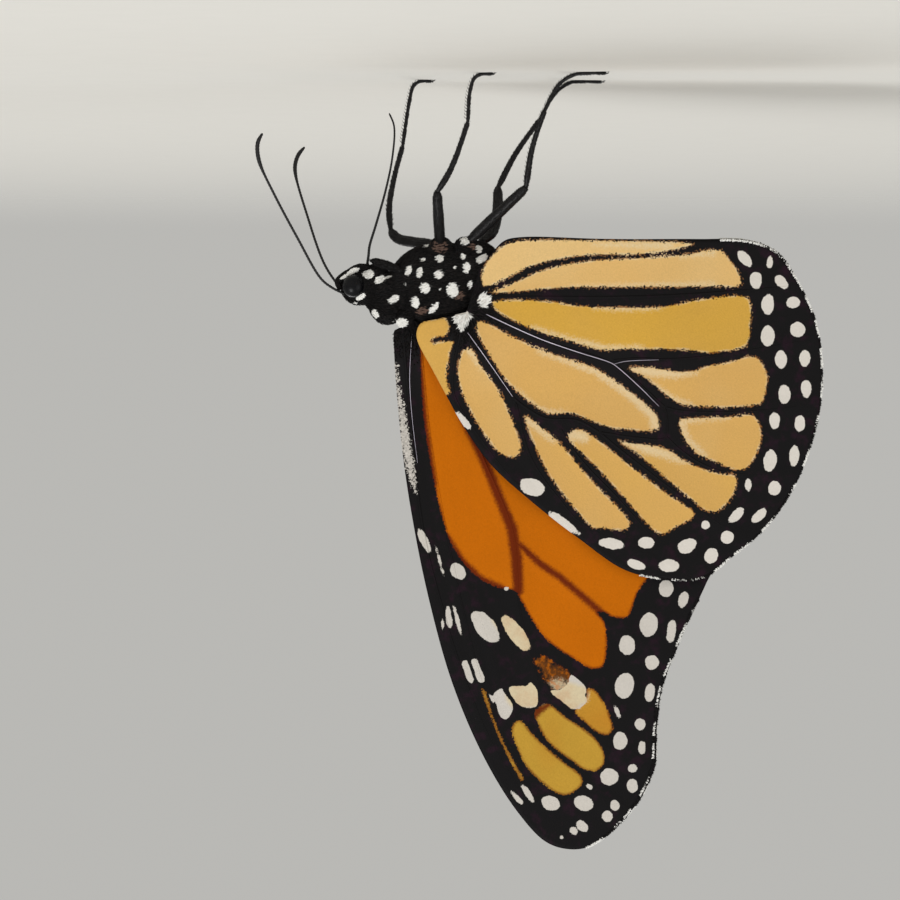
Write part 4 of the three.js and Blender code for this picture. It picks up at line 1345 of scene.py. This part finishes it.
class BUTTERFLY_OT_wings(bpy.types.Operator):
    """Lay thin pale rods along the stoutest veins: a painted highlight on their bare crests"""

    bl_idname = "butterfly.wings"
    bl_label = "Wings"

    def execute(self, context):
        settings = context.scene.butterfly_wings
        finishes = {
            kind: wing_finish(f"{kind} wing", settings, **self.looks(kind, settings))
            for kind in WINGS
        }
        for kind, wing, side, word in all_wings():
            slot, finish = f"{kind}wing", finishes[kind]
            wing_sheet(
                wing, side, settings, finish, f"{slot}_sheet_{word}", f"{slot}_{word}",
            )
            wing_veins(wing, side, settings, finish, f"{slot}_veins_{word}")
        return {"FINISHED"}

    def looks(self, kind, colours):
        """What the finish of a kind of wing needs besides its colours."""
        if kind == "hind":
            ramp = ((0, colours.buff), (0.5, colours.tan), (1, colours.ochre))
            return dict(ramp=ramp, fraying=0.42, rim_share=0.5, singed=0.1, chalky=0.97)
        orange = colours.orange
        ramp = ((0, colours.brown), (0.3, orange), (0.65, orange), (1, colours.straw))
        return dict(ramp=ramp, fraying=0.17, rim_share=0.0, singed=0.3, chalky=0.84)


class BUTTERFLY_OT_glints(bpy.types.Operator):
    """Lay the thin bare crests along the stoutest veins"""

    bl_idname = "butterfly.crests"
    bl_label = "Vein crests"

    def execute(self, context):
        settings = context.scene.butterfly_wings
        # The pale colour is a painted highlight, where the bare veins would catch the light.
        material = shell_finish("vein crest", settings.crest)
        for kind, wing, side, word in all_wings():
            slot = f"{kind}wing"
            wing_glints(wing, side, settings, material, f"{slot}_crests_{word}")
        return {"FINISHED"}


class BUTTERFLY_OT_fringes(bpy.types.Operator):
    """Fringe the margins with scales and put hairs on the wing roots"""

    bl_idname = "butterfly.fringes"
    bl_label = "Fringes and wing hairs"

    def execute(self, context):
        settings = context.scene.butterfly_wings
        material = coat_finish("wing fringe", context.scene.butterfly_body)
        rng = np.random.default_rng(SEEDS["wings"])
        for kind, wing, side, word in all_wings():
            slot = f"{kind}wing"
            wing_fringe(wing, side, settings, material, f"{slot}_fringe_{word}", rng)
            wing_down(wing, side, settings, material, f"{slot}_down_{word}", rng)
        return {"FINISHED"}


class BUTTERFLY_OT_body(bpy.types.Operator):
    """Wrap head, chest and abdomen in one skin and cover it with its coat"""

    bl_idname = "butterfly.body"
    bl_label = "Skin and coat"

    def execute(self, context):
        sizes = context.scene.butterfly_body
        skin = body_skin(sizes)
        spots = seated(BODY_SPOTS, skin) + belly_spots()
        umber = seated(BROWN_SPOTS, skin)
        mark(skin.data, snow=depth_on_body(points_of(skin.data), spots))
        settle(
            skin, "body_skin", skin_finish("body skin", sizes),
            ["head", "prothorax", "thorax", "abdomen"],
        )
        material = coat_finish("coat", sizes)
        rng = np.random.default_rng(SEEDS["body"])
        for name, region, pitch, hair, width, lift in (
            ("coat_head", (15.1, 19), 0.1, sizes.face_hair, 0.085, 0.32),
            ("coat_chest", (3.6, 15.1), 0.135, sizes.chest_hair, 0.13, 0.2),
            ("coat_abdomen", (-11, 3.6), 0.15, sizes.rear_hair, 0.14, 0.13),
        ):
            body_coat(skin, name, region, pitch, hair / MM, width, lift, spots, umber, material, rng)
        return {"FINISHED"}


class BUTTERFLY_OT_face(bpy.types.Operator):
    """Set the eyes and palps on the head, and fold the forelegs under the collar"""

    bl_idname = "butterfly.face"
    bl_label = "Eyes, palps and forelegs"

    def execute(self, context):
        sizes = context.scene.butterfly_body
        glass = eye_finish(sizes)
        under, coat = shell_finish("face shell", sizes.shell), coat_finish("face coat", sizes)
        skin = skin_finish("palp skin", sizes)
        rng = np.random.default_rng(SEEDS["face"])
        for side, word in SIDES.items():
            middle, half = EYE
            eye = ball(on_side(middle, side), half, segments=64)
            settle(eye, f"eye_ball_{word}", glass, [f"eye_{word}"])
            coated(
                "palp", PALP, PALP_RADII, side, PALP_STREAK, skin, coat, rng,
                pitch=0.075, hair=0.2,
            )
            coated(
                "foreleg", FORELEG, FORELEG_RADII, side, (), under, coat, rng,
                pitch=0.1, hair=0.3,
            )
        return {"FINISHED"}


class BUTTERFLY_OT_feelers(bpy.types.Operator):
    """Draw the two ringed feelers with their clubs"""

    bl_idname = "butterfly.feelers"
    bl_label = "Feelers"

    def execute(self, context):
        material = shell_finish("feeler", context.scene.butterfly_body.shell)
        for side, word in SIDES.items():
            line, _ = walk(curve(on_side(FEELERS[side], side)), FEELER_STEP)
            from_tip = np.linspace(1, 0, len(line)) * FEELER_STEP * len(line)
            club = ease(4.4, 2.4, from_tip) * ease(-0.05, 0.9, from_tip)
            rings = FEELER_RINGS * np.cos(2 * math.pi * np.arange(len(line)) / STEPS_TO_A_RING)
            radii = FEELER_RADIUS + (CLUB_RADIUS - FEELER_RADIUS) * club + rings
            radii[-3:] = FEELER_TIP
            nodes = [f"antenna_{part}_{word}" for part in ("shaft", "club")]
            settle(rods([(line, radii)], sides=10), f"feeler_{word}", material, nodes)
        return {"FINISHED"}


class BUTTERFLY_OT_tongue(bpy.types.Operator):
    """Draw the tongue as two ringed tubes that lie together"""

    bl_idname = "butterfly.tongue"
    bl_label = "Tongue"

    def execute(self, context):
        line, _ = walk(curve(TONGUE), 0.08)
        rings = TONGUE_RINGS * np.cos(np.arange(len(line)) * 2.1)
        radii = radii_along(line, (0, 1), TONGUE_RADII) + rings
        radii[-2:] = TONGUE_TIP
        halves = [(line + (0, side * TONGUE_APART / 2, 0), radii) for side in SIDES]
        material = shell_finish("tongue", context.scene.butterfly_body.shell)
        settle(rods(halves, sides=10), "tongue", material, ["proboscis"])
        return {"FINISHED"}


class BUTTERFLY_OT_legs(bpy.types.Operator):
    """Build the four walking legs, with their hairs, spines and claws"""

    bl_idname = "butterfly.legs"
    bl_label = "Legs"

    def execute(self, context):
        sizes = context.scene.butterfly_body
        material, coat = shell_finish("leg", sizes.shell), coat_finish("leg hair", sizes)
        rng = np.random.default_rng(SEEDS["legs"])
        for (pair, side), paths in LEGS.items():
            starts = [(), *(path[-1:] for path in paths)]
            lines = [
                walk(curve(on_side(start + path, side)), 0.1)[0] for start, path in zip(starts, paths)
            ]
            parts = [(line, radii(line)) for line, radii in zip(lines, (femur, tibia, tarsus))]
            leg = rods(parts + claws(lines[2]), sides=10)
            move_points(leg.data, above_floor(points_of(leg.data)))
            name = f"leg_{pair}_{SIDES[side]}"
            nodes = [f"{name}_{part}" for part in ("femur", "tibia", "tarsus")]
            settle(leg, name, material, nodes)
            limb_coat(
                leg, np.vstack(lines), (), f"{name}_hair", coat, rng,
                pitch=0.13, hair=sizes.leg_hair / MM, width=0.06, lift=0.2,
            )
            spines(lines, f"{name}_spines", material)
        return {"FINISHED"}


def femur(line):
    return radii_along(line, (0, 0.2, 0.6, 0.92, 1), (0.36, 0.48, 0.48, 0.43, 0.28))


def tibia(line):
    return radii_along(line, (0, 0.12, 0.8, 0.97, 1), (0.18, 0.28, 0.21, 0.23, 0.13))


def tarsus(line):
    share = np.linspace(0, 1, len(line))
    return 0.14 + 0.035 * (share * 5 % 1) * (share < 0.97)


def claws(line):
    """The two hooked claws at the end of a foot, as rods."""
    tip, way = line[-1], unit(line[-1] - line[-4])
    across = np.cross(way, (0, 0, 1))
    hooks = []
    for turn in (-1, 1):
        path = [tip, tip + way * 0.16 + across * turn * 0.1, tip + way * 0.26 + across * turn * 0.14]
        path[1][2] += 0.03
        path[2][2] = 0.02
        points = curve(path, spans=5)
        hooks.append((points, np.linspace(0.05, 0.012, len(points))))
    return hooks


def spines(lines, name, material):
    """Two rows of short spines along the tibia and the foot, pointing outwards and on."""
    thorns = []
    for line, step in ((lines[1], 0.45), (lines[2], 0.3)):
        places, ways = walk(line, step)
        for place, way in zip(places[1:-1], ways[1:-1]):
            across = unit(np.cross(way, (0, 0, 1)))
            for turn in (-1, 1):
                out = across * turn - np.cross(across, way) * 0.6
                steps = ((0.08, 0), (0.26, 0.12), (0.34, 0.3))
                path = np.array([place + out * away + way * on for away, on in steps])
                thorns.append((above_floor(path, 0.03), (0.035, 0.028, 0.008)))
    settle(rods(thorns, sides=4), name, material)


PICTURE_MIDDLE = (8.12, 0, 34.31)
FLOOR_RADIUS, FLOOR_FADE = 0.6, (0.09, 0.5)  # metres; the fade is from one radius to the other
SKY_STRENGTH = 0.8
FILM_WIDTH = 36  # the camera's own millimetres, as its lens is given in
# Soft lamps: name, place from the picture's middle in metres, size, and the share of a full
# light that each gives a surface that faces it.
LAMPS = (
    ("key", (0.3, -0.55, 0.5), 0.35, 0.55),
    ("fill", (-0.6, -0.5, 0.15), 0.5, 0.15),
    ("back", (0.1, 0.6, 0.5), 0.4, 0.3),
)


class BUTTERFLY_OT_stage(bpy.types.Operator):
    """Lay the plain floor, light it softly and set the camera"""

    bl_idname = "butterfly.stage"
    bl_label = "Stage"

    def execute(self, context):
        scene = context.scene
        sizes = scene.butterfly_stage
        deselect()
        bpy.ops.mesh.primitive_circle_add(vertices=96, radius=FLOOR_RADIUS, fill_type="NGON")
        floor = context.object
        floor.name = "floor"
        floor.data.materials.append(floor_finish(sizes.floor))

        world = bpy.data.worlds.new("studio")
        world.use_nodes = True
        background = world.node_tree.nodes["Background"]
        background.inputs["Color"].default_value = (*sizes.sky, 1)
        background.inputs["Strength"].default_value = SKY_STRENGTH
        scene.world = world
        scene.view_settings.view_transform = "Standard"

        middle = Vector(PICTURE_MIDDLE) * MM
        for name, place, size, share in LAMPS:
            lamp = bpy.data.lights.new(name, "AREA")
            lamp.size = size
            away = Vector(place)
            lamp.energy = share * math.pi**2 * away.length_squared
            holder = new_object(name, lamp)
            holder.location = middle + away
            holder.rotation_euler = away.to_track_quat("Z", "Y").to_euler()

        camera = bpy.data.cameras.new("camera")
        camera.sensor_width = FILM_WIDTH
        camera.lens = FILM_WIDTH * sizes.distance / sizes.across
        camera.clip_start, camera.clip_end = 0.01, 10
        view = new_object("camera", camera)
        view.location = middle - Vector((0, sizes.distance, 0))
        upside_down = Matrix.Rotation(math.pi, 3, "Y")
        view.rotation_euler = (upside_down @ Matrix.Rotation(math.pi / 2, 3, "X")).to_euler()
        scene.camera = view
        return {"FINISHED"}


def floor_finish(base):
    """Pale floor that fades into the background away from the middle."""
    f = Finish("floor")
    gap = f.node("ShaderNodeVectorMath", {"operation": "LENGTH"}, {0: f.place}, output="Value")
    paper = f.shade(base, 0.98 + f.noise(4, detail=3) * 0.04)
    solid = f.node("ShaderNodeBsdfPrincipled", inputs={"Base Color": paper, "Roughness": 0.9})
    clear = f.node("ShaderNodeBsdfTransparent")
    fade = gap.rise(*FLOOR_FADE)
    return f.end(f.node("ShaderNodeMixShader", inputs={0: fade, 1: solid, 2: clear}))


class BUTTERFLY_PT_panel(bpy.types.Panel):
    bl_idname = "BUTTERFLY_PT_panel"
    bl_label = "Butterfly"
    bl_space_type = "VIEW_3D"
    bl_region_type = "UI"
    bl_category = "Butterfly"

    def draw(self, context):
        for step in STEPS:
            self.layout.operator(step.bl_idname)
        for group in GROUPS:
            self.layout.label(text=group)
            settings = getattr(context.scene, group)
            for name in settings.__annotations__:
                self.layout.prop(settings, name)


STEPS = (
    BUTTERFLY_OT_wings, BUTTERFLY_OT_glints, BUTTERFLY_OT_fringes, BUTTERFLY_OT_body,
    BUTTERFLY_OT_face, BUTTERFLY_OT_feelers, BUTTERFLY_OT_tongue, BUTTERFLY_OT_legs,
    BUTTERFLY_OT_stage,
)
GROUPS = {
    "butterfly_wings": WingSettings,
    "butterfly_body": BodySettings,
    "butterfly_stage": StageSettings,
}


def register():
    for kind in (*GROUPS.values(), *STEPS, BUTTERFLY_PT_panel):
        bpy.utils.register_class(kind)
    for name, group in GROUPS.items():
        setattr(bpy.types.Scene, name, bpy.props.PointerProperty(type=group))


def unregister():
    for name in GROUPS:
        delattr(bpy.types.Scene, name)
    for kind in (BUTTERFLY_PT_panel, *reversed(STEPS), *reversed(GROUPS.values())):
        bpy.utils.unregister_class(kind)


def main():
    register()
    bpy.ops.butterfly.wings()
    bpy.ops.butterfly.crests()
    bpy.ops.butterfly.fringes()
    bpy.ops.butterfly.body()
    bpy.ops.butterfly.face()
    bpy.ops.butterfly.feelers()
    bpy.ops.butterfly.tongue()
    bpy.ops.butterfly.legs()
    bpy.ops.butterfly.stage()


if __name__ == "__main__":
    main()
